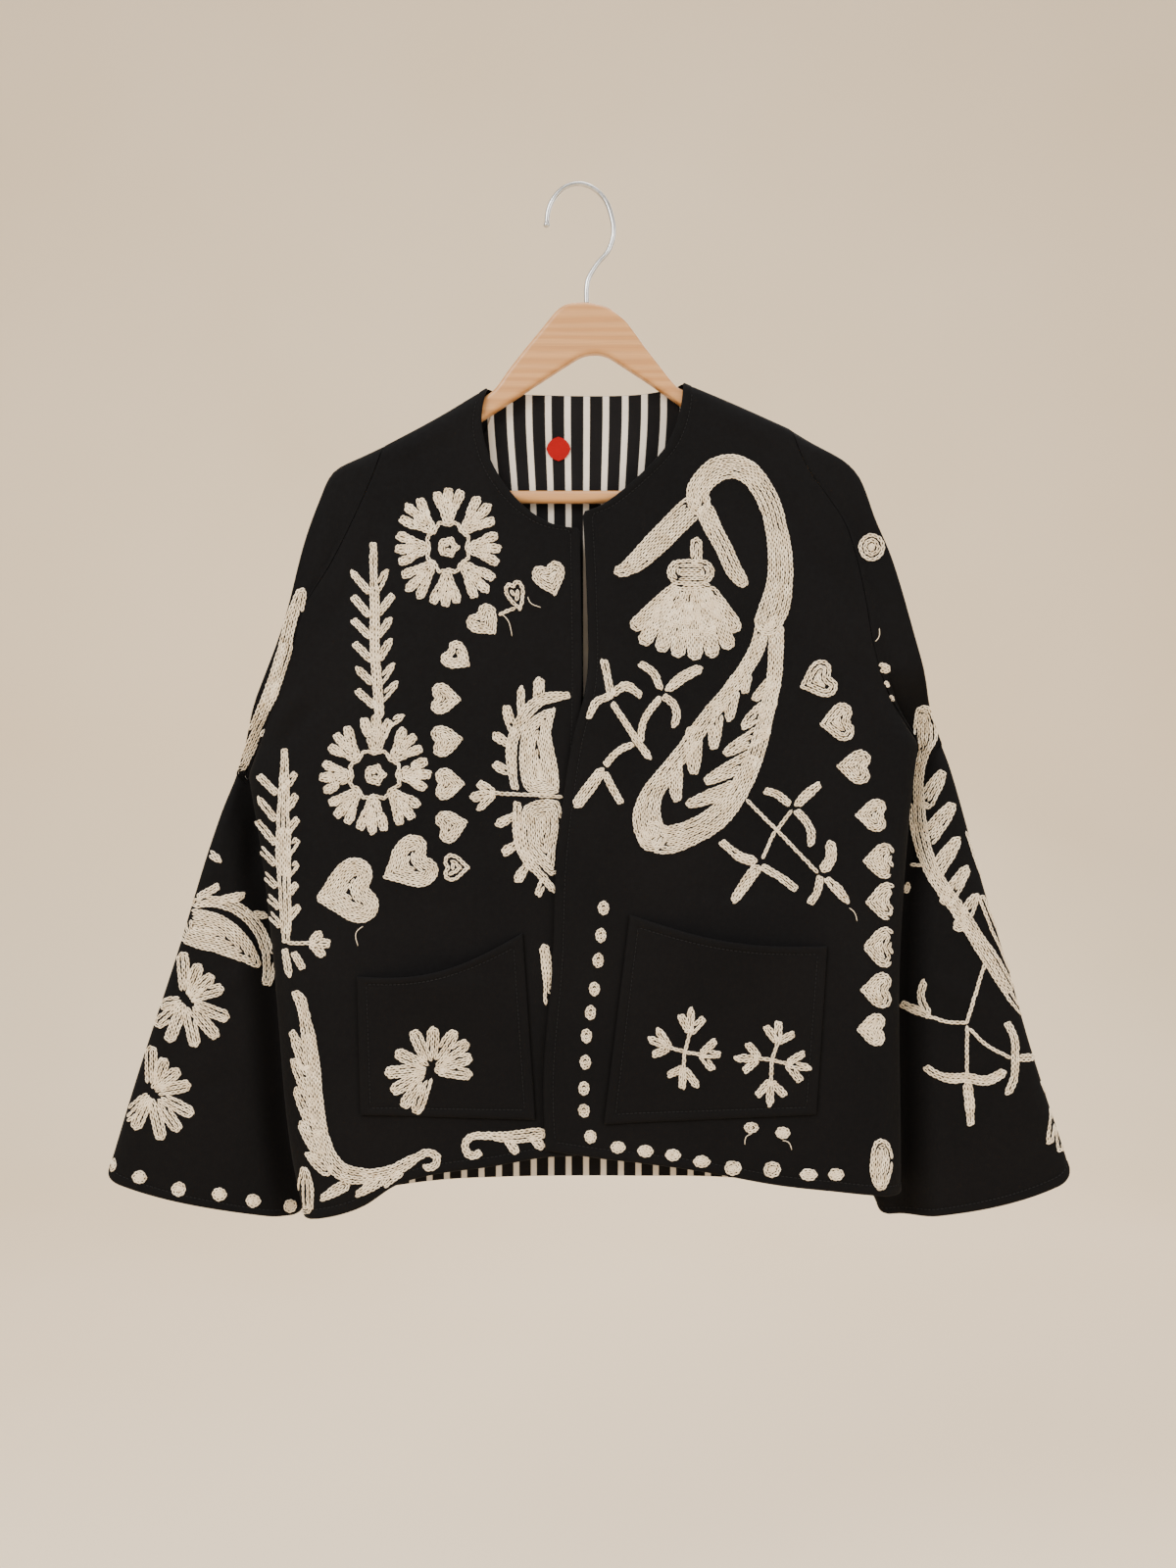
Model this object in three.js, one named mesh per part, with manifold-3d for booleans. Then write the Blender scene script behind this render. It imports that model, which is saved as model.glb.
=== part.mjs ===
// A black embroidered open-front jacket with a striped lining, hung flat on a wooden hanger.
// Millimetres, +Z up, +X to the viewer's right, the front faces -Y.
// The origin is the inner top of the hanger's hook, where a rod or a peg carries it.
import * as THREE from "three";
import { mergeVertices } from "three/addons/utils/BufferGeometryUtils.js";
import Module from "manifold-3d";

const wasm = await Module();
wasm.setup();

// Driving dimensions
const CLOTH = 1.6; // outer cotton with its lining, as one wall
const LINING = 1.0; // the striped cotton inside the back
const LINING_CLEAR = 0.5; // between the back and its lining
const SEAM = 0.3; // clear space between neighbouring pieces
const EDGE = 0.36; // how far a folded edge stays from the middle plane
const SEAM_SIDE = 2; // clear space beside an armhole seam
const UNDERARM_SIDE = 5.2; // clear space beside the underarm, where the sleeve turns behind the back
const LAP = CLOTH + SEAM; // from the back panel to the sleeve that laps it
const RIDGE_ROUND = 9.6; // the cloth's turn over the hanger's arms
const SIDE_ROUND = 14; // the turn at the side seams
const TURN_ZONE = 60; // height over which the side's turn grows, above the underarm
const SLEEVE_BEHIND = 3.5; // from the back panel to the sleeve that hangs behind it
const SLEEVE_DEPTH = 12; // between the two walls of a sleeve
const SLEEVE_FRONT = 3; // the front wall of a sleeve clear of the body
const FRONT_LAP = 3.4; // the upper front panel stands this far off the lower one
const POCKET_CLEAR = 0.75; // between a pocket and its front, beside the stitching
const POCKET_BULGE = 9; // how far a pocket's mouth stands open

const HANGER_THICK = 12;
const HANGER_BEVEL = 2;
const BAR_RADIUS = 5;
const BAR_HEIGHT = -242;
const WIRE_RADIUS = 1.9;
const WIRE_TIP_RADIUS = 2.5;

// How far the body's two sides stand from the middle plane: height, front, back
const BODY_DEPTH = [
  [-150, 9.6, 9.6],
  [-260, 10, 9.8],
  [-460, 15, 11],
  [-640, 21, 13],
  [-810, 26, 15],
];

// Soft upright folds: x, upper end, lower end, half width, depth outwards
const FRONT_FOLDS = [
  [-182, -480, -860, 46, 2.6],
  [-96, -330, -620, 50, -1.8],
  [118, -280, -560, 55, -2],
  [224, -560, -860, 34, 2.4],
];
const BACK_FOLDS = [
  [-120, -260, -860, 60, 3],
  [-10, -240, -700, 70, -2],
  [105, -330, -860, 60, 3],
];

// Edges of each side, distance from the middle plane x = 0 and height
const RIGHT = {
  name: "right",
  sign: -1,
  neck: [[72, -158], [76, -185], [68, -217], [46, -248], [22, -264], [0, -268]],
  centre: [[0, -268], [-1.5, -385], [0, -465], [1, -560], [3, -749]],
  ridge: [[72, -158], [110, -181], [151, -203]],
  armhole: [[151, -203], [163, -234], [191, -293], [213, -330], [223, -364], [234, -400], [257, -458]],
  side: [[257, -458], [247, -518], [238, -595], [233, -654], [228, -713], [222, -757], [213, -798]],
  hem: [[3, -749], [27, -750], [68, -757], [112, -763], [140, -771], [164, -786], [184, -793], [213, -798]],
  sleeveOuter: [
    [151, -203], [168, -211], [192, -224], [200, -242], [212, -277], [228, -342],
    [249, -400], [269, -456], [290, -516], [315, -598], [346, -693], [369, -769],
  ],
  sleeveInner: [[257, -458], [215, -505], [178, -575], [168, -640], [185, -720], [222, -802]],
  cuffSag: 10,
};
const LEFT = {
  name: "left",
  sign: 1,
  neck: [[80, -154], [77, -177], [67, -203], [42, -230], [16, -250], [2, -255]],
  centre: [[2, -255], [5, -316], [5, -385], [-7, -438], [-18, -524], [-21, -600], [-28, -692], [-26, -744]],
  ridge: [[80, -154], [120, -171], [162, -190]],
  armhole: [
    [162, -190], [175, -220], [191, -243], [204, -263], [213, -290], [220, -322],
    [226, -358], [238, -397], [262, -434],
  ],
  side: [[262, -434], [255, -493], [250, -557], [247, -620], [248, -743], [248, -780]],
  hem: [[-26, -744], [1, -748], [36, -753], [89, -760], [150, -771], [196, -776], [248, -780]],
  sleeveOuter: [
    [162, -190], [185, -204], [207, -217], [216, -228], [228, -262], [240, -291], [261, -365],
    [271, -402], [289, -453], [316, -549], [336, -615], [352, -671], [383, -767],
  ],
  sleeveInner: [[262, -434], [222, -480], [190, -550], [180, -625], [200, -715], [238, -802]],
  cuffSag: 14,
};
const BACK_NECK = [[-72, -158], [-40, -160], [44, -160], [80, -154]];
const BACK_HEM = [[-213, -798], [-170, -786], [-117, -778], [-56, -774], [83, -774], [150, -777], [248, -780]];

// Pocket corners, x and height: upper inner, upper outer, lower inner, lower outer; the mouth dips
const POCKETS = {
  right: { corners: [[-44, -579], [-170, -612], [-34, -721], [-167, -717]], dip: 12 },
  left: { corners: [[38, -565], [189, -589], [18, -724], [180, -717]], dip: 8 },
};

// Rows and columns of the cloth, as shares of a panel; the first rows turn over the hanger
const PANEL_LENGTH = 620;
const NECK_SHARE = 0.22;
const ARMHOLE_SHARE = 0.44;
const ROWS = [0, 1.3, 4.5, 9.6, 26].map((distance) => distance / PANEL_LENGTH).concat(
  [0.08, 0.125, 0.17, NECK_SHARE, 0.275, 0.33, 0.385, ARMHOLE_SHARE],
  [0.5, 0.57, 0.64, 0.71, 0.79, 0.87, 0.94, 1],
);
const FRONT_WIDTH = 220;
const SIDE_STEPS = [SIDE_ROUND, 5, 1.5, 0].map((distance) => 1 - distance / FRONT_WIDTH);
const FRONT_COLUMNS = [0, 0.1, 0.2, 0.31, 0.43, 0.56, 0.69, 0.82].concat(SIDE_STEPS);
const BACK_WIDTH = 480;
const BACK_SIDE = [0, 1.5, 5, SIDE_ROUND].map((distance) => distance / BACK_WIDTH);
const BACK_COLUMNS = BACK_SIDE.concat(
  [0.09, 0.16, 0.24, 0.31, 0.328, 0.38, 0.44, 0.5, 0.56, 0.62, 0.672, 0.69, 0.76, 0.84, 0.91],
  BACK_SIDE.map((share) => 1 - share).reverse(),
);
const SLEEVE_RINGS = [
  0, 0.02, 0.045, 0.075, 0.11, 0.15, 0.2, 0.25, 0.31, 0.37, 0.44, 0.52, 0.61, 0.7, 0.79, 0.88, 0.95, 1,
];
const RING_MIDDLE = 9; // even steps between the folds on one side of a sleeve's ring
const RING_FOLDS = { upper: [0, 1.3, 4.5, RIDGE_ROUND], lower: [SLEEVE_DEPTH / 2, 3, 1, 0] };
const NECK_COLUMNS = [0.31, 0.69]; // the back neck lies between these shares
const NECK_TURN = 0.018; // share of the back over which its neck leaves the ridge

const mix = THREE.MathUtils.lerp;

// From 0 at one value to 1 at another, which may be the smaller one
function smooth(from, to, value) {
  const t = THREE.MathUtils.clamp((value - from) / (to - from), 0, 1);
  return t * t * (3 - 2 * t);
}

// Share of the full depth at a distance from a folded edge: a quarter round
function turn(distance, round) {
  const t = THREE.MathUtils.clamp(distance / round, 0, 1);
  return Math.sqrt(1 - (1 - t) ** 2);
}

// A smooth edge through rows of x and height
function edge(rows, sign = 1) {
  const points = rows.map(([x, z]) => new THREE.Vector3(sign * x, 0, z));
  return new THREE.CatmullRomCurve3(points, false, "centripetal");
}

// The row values of a table at a height, with straight steps between its rows
function atHeight(table, z, column) {
  const last = table.length - 1;
  if (z >= table[0][0]) return table[0][column];
  for (let i = 0; i < last; i++) {
    const [upper, lower] = [table[i], table[i + 1]];
    if (z >= lower[0]) return mix(upper[column], lower[column], (upper[0] - z) / (upper[0] - lower[0]));
  }
  return table[last][column];
}

function folds(table, x, z) {
  return table.reduce((sum, [centre, top, bottom, half, depth]) => {
    const across = Math.max(0, 1 - ((x - centre) / half) ** 2) ** 2;
    const down = smooth(0, 0.35, (top - z) / (top - bottom)) * smooth(0, 0.05, (z - bottom) / (top - bottom));
    return sum + depth * across * down;
  }, 0);
}

const frontDepth = (x, z) => atHeight(BODY_DEPTH, z, 1) + folds(FRONT_FOLDS, x, z);
const frontLap = (x, z) => FRONT_LAP * smooth(-365, -405, z) * smooth(45, 12, x);
const sideDepth = (side, x, z) => frontDepth(x, z) + (side.sign > 0 ? frontLap(x, z) : 0);
const backDepth = (x, z) => atHeight(BODY_DEPTH, z, 2) + folds(BACK_FOLDS, x, z);

// A patch between four edges, each from 0 to 1
function patch(top, bottom, inner, outer) {
  const [a, b, c, d] = [top(0), top(1), bottom(0), bottom(1)];
  return (u, v) => {
    const point = new THREE.Vector3();
    point.addScaledVector(inner(v), 1 - u).addScaledVector(outer(v), u);
    point.addScaledVector(top(u), 1 - v).addScaledVector(bottom(u), v);
    point.addScaledVector(a, -(1 - u) * (1 - v)).addScaledVector(b, -u * (1 - v));
    return point.addScaledVector(c, -(1 - u) * v).addScaledVector(d, -u * v);
  };
}

// Two edges end to end, meeting at a share of the whole
function joined(first, second, share) {
  return (v) => (v <= share ? first.getPointAt(v / share) : second.getPointAt((v - share) / (1 - share)));
}

function frontPoints(side) {
  const surface = patch(
    (u) => edge(side.ridge, side.sign).getPointAt(u),
    (u) => edge(side.hem, side.sign).getPointAt(u),
    joined(edge(side.neck, side.sign), edge(side.centre, side.sign), NECK_SHARE),
    joined(edge(side.armhole, side.sign), edge(side.side, side.sign), ARMHOLE_SHARE),
  );
  const underarm = side.armhole.at(-1)[1];
  return ROWS.map((v) =>
    FRONT_COLUMNS.map((u) => {
      const point = surface(u, v);
      const sideTurn = smooth(underarm + TURN_ZONE, underarm, point.z);
      const shape = mix(1, turn((1 - u) * FRONT_WIDTH, SIDE_ROUND), sideTurn) * turn(v * PANEL_LENGTH, RIDGE_ROUND);
      point.y = -mix(EDGE, sideDepth(side, point.x, point.z), shape);
      return point;
    }),
  );
}

// The back runs from the wearer's right side to the left one
function backTop(u) {
  const [from, to] = NECK_COLUMNS;
  if (u < from) return edge(RIGHT.ridge, -1).getPointAt(1 - u / from);
  if (u > to) return edge(LEFT.ridge, 1).getPointAt((u - to) / (1 - to));
  return edge(BACK_NECK).getPointAt((u - from) / (to - from));
}

function backPoints(columns, rows) {
  const surface = patch(
    backTop,
    (u) => edge(BACK_HEM).getPointAt(u),
    joined(edge(RIGHT.armhole, -1), edge(RIGHT.side, -1), ARMHOLE_SHARE),
    joined(edge(LEFT.armhole), edge(LEFT.side), ARMHOLE_SHARE),
  );
  return rows.map((v) =>
    columns.map((u) => {
      const point = surface(u, v);
      const underarm = (point.x < 0 ? RIGHT : LEFT).armhole.at(-1)[1];
      const sideTurn = smooth(underarm + TURN_ZONE, underarm, point.z);
      const toSide = Math.min(u, 1 - u) * BACK_WIDTH;
      const onShoulder = smooth(NECK_TURN, 0, Math.min(u - NECK_COLUMNS[0], NECK_COLUMNS[1] - u));
      const overRidge = mix(1, turn(v * PANEL_LENGTH, RIDGE_ROUND), onShoulder);
      const shape = mix(1, turn(toSide, SIDE_ROUND), sideTurn) * overRidge;
      point.y = mix(EDGE, backDepth(point.x, point.z), shape);
      return point;
    }),
  );
}

// The smooth outline as a table of height and distance; its height falls all the way
function outline(rows) {
  return edge(rows).getSpacedPoints(80).map((point) => [point.z, point.x]);
}

// A sleeve is a tube of rings: ring 0 is the armhole, the last one the cuff.
// The front wall runs down the shoulder's strip, round the underarm and behind the back panel.
function sleevePoints(side) {
  const outer = edge(side.sleeveOuter);
  const inner = edge(side.sleeveInner);
  const seam = edge(side.armhole);
  const [underX, underZ] = side.armhole.at(-1);
  const [seamLine, foldLine, sideLine] = [side.armhole, side.sleeveOuter, side.side].map(outline);
  const turnShare = [...Array(101).keys()].find((i) => outer.getPointAt(i / 100).z < underZ) / 100;

  // Depth of the sleeve's front wall below the underarm
  function lowerFront(x, z) {
    const sideX = z > underZ ? underX : atHeight(sideLine, z, 1);
    const behind = atHeight(BODY_DEPTH, z, 2) + SLEEVE_BEHIND + folds(BACK_FOLDS, side.sign * x, z);
    return mix(behind, SLEEVE_FRONT, smooth(sideX + 2, sideX + 30, x));
  }

  // The lower fold starts clear of the underarm
  function endOf(share) {
    const end = inner.getPointAt(share);
    end.x += UNDERARM_SIDE * smooth(0.1, 0, share);
    return end;
  }

  function frontWall(share) {
    const tip = outer.getPointAt(share);
    const end = endOf(share);
    const way = Math.min(1, share / turnShare);
    const points = [];
    const steps = 24;
    if (way < 1) {
      const settle = 200 * way;
      for (let i = 0; i <= steps; i++) {
        const z = mix(tip.z, underZ, i / steps);
        const fall = tip.z - z;
        const drift = settle > 0 ? mix(1, way, smooth(0, settle, fall)) : 0;
        const turned = smooth(underZ + TURN_ZONE, underZ, z);
        const clear = mix(SEAM_SIDE, UNDERARM_SIDE, turned);
        const x = mix(atHeight(seamLine, z, 1) + clear, atHeight(foldLine, z, 1), drift);
        const panelEdge = -mix(frontDepth(side.sign * x, z), EDGE, turned);
        points.push(new THREE.Vector3(x, mix(panelEdge, lowerFront(x, z), turned * Math.min(1, 6 * way)), z));
      }
    } else {
      points.push(new THREE.Vector3(tip.x, lowerFront(tip.x, tip.z), tip.z));
    }
    const start = points.at(-1);
    for (let i = 1; i <= steps && share > 0; i++) {
      const x = mix(start.x, end.x, i / steps);
      const z = mix(start.z, end.z, i / steps);
      points.push(new THREE.Vector3(x, lowerFront(x, z), z));
    }
    return points;
  }

  function backWall(share) {
    const tip = outer.getPointAt(share);
    const end = endOf(share);
    const way = Math.min(1, share / turnShare);
    const straight = smooth(0, 0.2, share);
    const seamEnds = [seam.getPointAt(0), seam.getPointAt(1)];
    const points = [];
    const steps = 40;
    for (let i = 0; i <= steps; i++) {
      const t = i / steps;
      const point = tip.clone().lerp(end, t);
      const bow = seam.getPointAt(t).sub(seamEnds[0].clone().lerp(seamEnds[1], t));
      point.addScaledVector(bow, 1 - straight);
      const turned = smooth(underZ + TURN_ZONE, underZ, point.z);
      point.x += SEAM_SIDE * (1 - t) * smooth(0.1, 0, share);
      const panelEdge = mix(backDepth(side.sign * point.x, point.z), EDGE, turned) + LAP;
      const low = lowerFront(point.x, Math.min(point.z, underZ)) + SLEEVE_DEPTH;
      const fallen = point.z > underZ ? smooth(underZ + 130, underZ, point.z) * Math.min(1, 6 * way) : 1;
      point.y = share === 0 ? panelEdge : mix(backDepth(side.sign * point.x, point.z) + LAP, low, fallen);
      points.push(point);
    }
    return points;
  }

  // Points of one wall at shares along it, with both ends drawn to the fold between the walls
  function sampled(points, foldStart, foldEnd) {
    const lengths = [0];
    for (let i = 1; i < points.length; i++) lengths.push(lengths[i - 1] + points[i].distanceTo(points[i - 1]));
    const whole = lengths.at(-1);
    const { upper, lower } = RING_FOLDS;
    const middle = [...Array(RING_MIDDLE - 1).keys()].map((i) =>
      mix(upper.at(-1), whole - lower[0], (i + 1) / RING_MIDDLE),
    );
    return [...upper, ...middle, ...lower.map((step) => whole - step)].map((distance) => {
      let k = 1;
      while (k < points.length - 1 && lengths[k] < distance) k++;
      const point = points[k - 1].clone().lerp(points[k], (distance - lengths[k - 1]) / (lengths[k] - lengths[k - 1]));
      const full = turn(distance, RIDGE_ROUND);
      const closing = turn(whole - distance, SLEEVE_DEPTH / 2);
      point.y = mix(foldStart, point.y, full);
      point.y = mix(foldEnd, point.y, closing);
      return point;
    });
  }

  return SLEEVE_RINGS.map((share) => {
    const front = frontWall(share);
    const back = backWall(share);
    const foldStart = (front[0].y + back[0].y) / 2;
    const foldEnd = (front.at(-1).y + back.at(-1).y) / 2;
    const frontSide = sampled(front, foldStart, foldEnd);
    const backSide = sampled(back, foldStart, foldEnd);
    const ring = frontSide.concat(backSide.slice(1, -1).reverse());
    return ring.map((point, i) => {
      const along = Math.min(i, ring.length - i) / (ring.length / 2);
      const sag = side.cuffSag * Math.sin(Math.PI * along ** 0.7) * smooth(0.7, 1, share);
      return new THREE.Vector3(side.sign * point.x, point.y, point.z - sag);
    });
  });
}

function pocketPoints(side, rows, columns) {
  const { corners, dip } = POCKETS[side.name];
  const [upperInner, upperOuter, lowerInner, lowerOuter] = corners;
  return rows.map((v) =>
    columns.map((u) => {
      const top = [mix(upperInner[0], upperOuter[0], u), mix(upperInner[1], upperOuter[1], u)];
      const bottom = [mix(lowerInner[0], lowerOuter[0], u), mix(lowerInner[1], lowerOuter[1], u)];
      const mouth = dip * Math.sin(Math.PI * u) * (1 - v);
      const x = mix(top[0], bottom[0], v);
      const z = mix(top[1] - mouth, bottom[1], v);
      const bulge = POCKET_BULGE * Math.sin(Math.PI * u) * (1 - v) ** 1.6;
      return new THREE.Vector3(x, -(sideDepth(side, x, z) + CLOTH + POCKET_CLEAR + bulge), z);
    }),
  );
}

// Unit normals of a net of points; the sign turns them outwards
function netNormals(net, closed, sign) {
  const rows = net.length;
  const columns = net[0].length;
  return net.map((row, i) =>
    row.map((_, j) => {
      const before = closed ? (j + columns - 1) % columns : Math.max(0, j - 1);
      const after = closed ? (j + 1) % columns : Math.min(columns - 1, j + 1);
      const across = row[after].clone().sub(row[before]);
      const down = net[Math.min(rows - 1, i + 1)][j].clone().sub(net[Math.max(0, i - 1)][j]);
      return across.cross(down).normalize().multiplyScalar(sign);
    }),
  );
}

function moved(net, distance, closed, sign) {
  const normals = netNormals(net, closed, sign);
  return net.map((row, i) => row.map((point, j) => point.clone().addScaledVector(normals[i][j], distance)));
}

function signedVolume(positions, triangles) {
  const [a, b, c] = [new THREE.Vector3(), new THREE.Vector3(), new THREE.Vector3()];
  let sum = 0;
  for (let i = 0; i < triangles.length; i += 3) {
    a.fromArray(positions, 3 * triangles[i]);
    b.fromArray(positions, 3 * triangles[i + 1]);
    c.fromArray(positions, 3 * triangles[i + 2]);
    sum += a.dot(b.cross(c)) / 6;
  }
  return sum;
}

// A closed wall round a net of middle points: an open sheet, or a tube with both ends open
function wall(net, thickness, closed = false) {
  const rows = net.length;
  const columns = net[0].length;
  const skins = [moved(net, thickness / 2, closed, 1), moved(net, -thickness / 2, closed, 1)];
  const positions = skins.flat(2).flatMap((point) => point.toArray());
  const at = (skin, i, j) => skin * rows * columns + i * columns + (j % columns);
  const triangles = [];
  const quad = (a, b, c, d) => triangles.push(a, b, c, a, c, d);
  const span = closed ? columns : columns - 1;
  for (let i = 0; i < rows - 1; i++) {
    for (let j = 0; j < span; j++) {
      quad(at(0, i, j), at(0, i, j + 1), at(0, i + 1, j + 1), at(0, i + 1, j));
      quad(at(1, i, j), at(1, i + 1, j), at(1, i + 1, j + 1), at(1, i, j + 1));
    }
  }
  for (let j = 0; j < span; j++) {
    quad(at(0, 0, j), at(1, 0, j), at(1, 0, j + 1), at(0, 0, j + 1));
    quad(at(0, rows - 1, j + 1), at(1, rows - 1, j + 1), at(1, rows - 1, j), at(0, rows - 1, j));
  }
  for (let i = 0; i < rows - 1 && !closed; i++) {
    quad(at(0, i + 1, 0), at(1, i + 1, 0), at(1, i, 0), at(0, i, 0));
    quad(at(0, i, span), at(1, i, span), at(1, i + 1, span), at(0, i + 1, span));
  }
  if (signedVolume(positions, triangles) < 0) triangles.reverse();
  const geometry = new THREE.BufferGeometry();
  geometry.setAttribute("position", new THREE.Float32BufferAttribute(positions, 3));
  geometry.setIndex(triangles);
  return geometry;
}

// The lining follows the back's points, moved inwards, and starts below the shoulder's turn
function liningGeometry() {
  const columns = BACK_COLUMNS.slice(2, -2);
  const net = backPoints(columns, ROWS);
  const inside = moved(net, -(CLOTH / 2 + LINING_CLEAR + LINING / 2), false, 1);
  const firstRow = 3;
  const neckRow = 0;
  const top = inside[firstRow].map((point, j) => {
    const inNeck = smooth(0, 0.04, Math.min(columns[j] - NECK_COLUMNS[0], NECK_COLUMNS[1] - columns[j]));
    return point.clone().lerp(inside[neckRow][j], inNeck);
  });
  top.forEach((point, j) => {
    point.y = inside[firstRow][j].y;
  });
  const hem = inside.at(-1).map((point) => point.clone().setZ(point.z + CLOTH));
  return wall([top, ...inside.slice(firstRow + 1, -1), hem], LINING);
}

// The hanger's flat wood: two arms under the shoulders and the raised middle that takes the hook
const UNDER_RIDGE = 2.9; // the wood's top lies this far under the middle of the cloth's wall
const ARM_FACE = { right: -163, left: 178 }; // where the bar meets the arms
const ARMS_RIGHT = [
  [5, -91], [-10, -92], [-18, -97], [-30, -112], [-44, -129], [-55, -143], [-66, -159], [-76, -166],
  [-92, -175], [-110, -181 - UNDER_RIDGE], [-151, -203 - UNDER_RIDGE], [-168, -211.5 - UNDER_RIDGE],
  [-184, -223.5], [-190, -231], [-191, -242], [-186, -251], [-178, -254], [-168, -254], [-163, -250],
  [-163, -234], [-150, -225], [-112, -205], [-72, -180], [-34, -155], [0, -133], [8, -131],
];
const ARMS_LEFT = [
  [16, -131], [22, -133], [54, -154], [84, -175], [124, -196], [166, -217], [178, -226],
  [178, -250], [184, -254], [194, -254], [202, -250], [206, -240], [205, -229],
  [198, -218], [184, -203.5 - UNDER_RIDGE], [162, -190 - UNDER_RIDGE], [120, -171 - UNDER_RIDGE],
  [96, -164.5], [84, -160.5], [76, -158.5], [69, -150], [51, -127], [36, -106], [22, -95],
];

function hangerArms() {
  const shape = new THREE.Shape([...ARMS_RIGHT, ...ARMS_LEFT].map(([x, z]) => new THREE.Vector2(x, z)));
  const geometry = new THREE.ExtrudeGeometry(shape, {
    depth: HANGER_THICK - 2 * HANGER_BEVEL,
    bevelThickness: HANGER_BEVEL,
    bevelSize: HANGER_BEVEL,
    bevelOffset: -HANGER_BEVEL,
    bevelSegments: 2,
    steps: 1,
  });
  geometry.translate(0, 0, -(HANGER_THICK / 2 - HANGER_BEVEL));
  return geometry.rotateX(Math.PI / 2);
}

function hangerBar() {
  const from = ARM_FACE.right + SEAM;
  const to = ARM_FACE.left - SEAM;
  const geometry = new THREE.CylinderGeometry(BAR_RADIUS, BAR_RADIUS, to - from, 16);
  geometry.rotateZ(Math.PI / 2);
  return geometry.translate((from + to) / 2, 0, BAR_HEIGHT);
}

// The wire from its tip over the top and down into the wood, x and height of its middle
const HOOK_WAY = [
  [-26, -30], [-25, -20], [-21, -10], [-12, -1], [0, WIRE_RADIUS], [10, -1.5], [19, -10], [24, -22],
  [26, -36], [22, -50], [13, -61], [6.5, -72], [5, -80], [5, -91 + SEAM],
];

function solid(geometry) {
  geometry.deleteAttribute("normal");
  geometry.deleteAttribute("uv");
  const merged = mergeVertices(geometry, 1e-3);
  return new wasm.Manifold(
    new wasm.Mesh({
      numProp: 3,
      vertProperties: merged.attributes.position.array,
      triVerts: new Uint32Array(merged.index.array),
    }),
  );
}

function geometryOf(body) {
  const mesh = body.getMesh();
  const geometry = new THREE.BufferGeometry();
  geometry.setAttribute("position", new THREE.BufferAttribute(mesh.vertProperties, 3));
  return geometry.setIndex(new THREE.BufferAttribute(mesh.triVerts, 1));
}

function hangerHook() {
  const way = new THREE.CatmullRomCurve3(HOOK_WAY.map(([x, z]) => new THREE.Vector3(x, 0, z)));
  const section = new THREE.Shape();
  section.absarc(0, 0, WIRE_RADIUS, 0, 2 * Math.PI);
  const wire = new THREE.ExtrudeGeometry(section, { steps: 40, curveSegments: 10, extrudePath: way });
  const [tipX, tipZ] = HOOK_WAY[0];
  const tip = new THREE.SphereGeometry(WIRE_TIP_RADIUS, 12, 8).translate(tipX, 0, tipZ);
  return geometryOf(solid(wire).add(solid(tip)));
}

// A small red patch stitched to the lining below the back neck
const PATCH = { x: -17, z: -203, half: 9.5, round: 3, thick: 0.8 };

function neckPatch() {
  const { half, round } = PATCH;
  const shape = new THREE.Shape();
  shape.moveTo(0, half);
  shape.quadraticCurveTo(half / 2 + round, half / 2 + round, half, 0);
  shape.quadraticCurveTo(half / 2 + round, -half / 2 - round, 0, -half);
  shape.quadraticCurveTo(-half / 2 - round, -half / 2 - round, -half, 0);
  shape.quadraticCurveTo(-half / 2 - round, half / 2 + round, 0, half);
  const geometry = new THREE.ExtrudeGeometry(shape, { depth: PATCH.thick, bevelEnabled: false, curveSegments: 4 });
  geometry.rotateX(Math.PI / 2);
  const liningFace = backDepth(PATCH.x, PATCH.z) - CLOTH / 2 - LINING_CLEAR - LINING;
  return geometry.translate(PATCH.x, liningFace - SEAM - 0.1, PATCH.z);
}

// Materials
const blackCotton = new THREE.MeshStandardMaterial({ color: 0x18161a, roughness: 0.9, metalness: 0 });
const stripedCotton = new THREE.MeshStandardMaterial({ color: 0xd2c8be, roughness: 0.85, metalness: 0 });
const redCotton = new THREE.MeshStandardMaterial({ color: 0xe10a19, roughness: 0.8, metalness: 0 });
const paleWood = new THREE.MeshStandardMaterial({ color: 0xcda57d, roughness: 0.5, metalness: 0 });
const steelWire = new THREE.MeshStandardMaterial({ color: 0xb4b4b4, roughness: 0.3, metalness: 1 });

function piece(name, geometry, material) {
  const mesh = new THREE.Mesh(geometry, material);
  mesh.name = name;
  return mesh;
}

const cloth = new THREE.Group();
cloth.add(piece("back", wall(backPoints(BACK_COLUMNS, ROWS), CLOTH), blackCotton));
cloth.add(piece("back_lining", liningGeometry(), stripedCotton));
cloth.add(piece("neck_patch", neckPatch(), redCotton));
for (const side of [RIGHT, LEFT]) {
  cloth.add(piece("front_" + side.name, wall(frontPoints(side), CLOTH), blackCotton));
  cloth.add(piece("sleeve_" + side.name, wall(sleevePoints(side), CLOTH, true), blackCotton));
  const rows = [0, 0.08, 0.2, 0.35, 0.55, 0.78, 1];
  const columns = [0, 0.1, 0.22, 0.36, 0.5, 0.64, 0.78, 0.9, 1];
  const pocket = wall(pocketPoints(side, rows, columns), CLOTH);
  cloth.add(piece("pocket_" + side.name, pocket, blackCotton));
}

const hanger = new THREE.Group();
hanger.add(piece("hanger_arms", hangerArms(), paleWood));
hanger.add(piece("hanger_bar", hangerBar(), paleWood));
hanger.add(piece("hanger_hook", hangerHook(), steelWire));

const jacket = new THREE.Group();
jacket.add(cloth, hanger);
export default jacket;
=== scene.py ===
# A black embroidered open-front jacket with a striped lining, hung flat on a wooden hanger.
# Tables and lengths are in millimetres, and MM turns them into metres. +X is the viewer's right,
# the front faces -Y, +Z is up, and the origin is the inner top of the hanger's hook.
import math

import bpy
import numpy as np
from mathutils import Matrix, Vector
from mathutils.bvhtree import BVHTree


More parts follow.
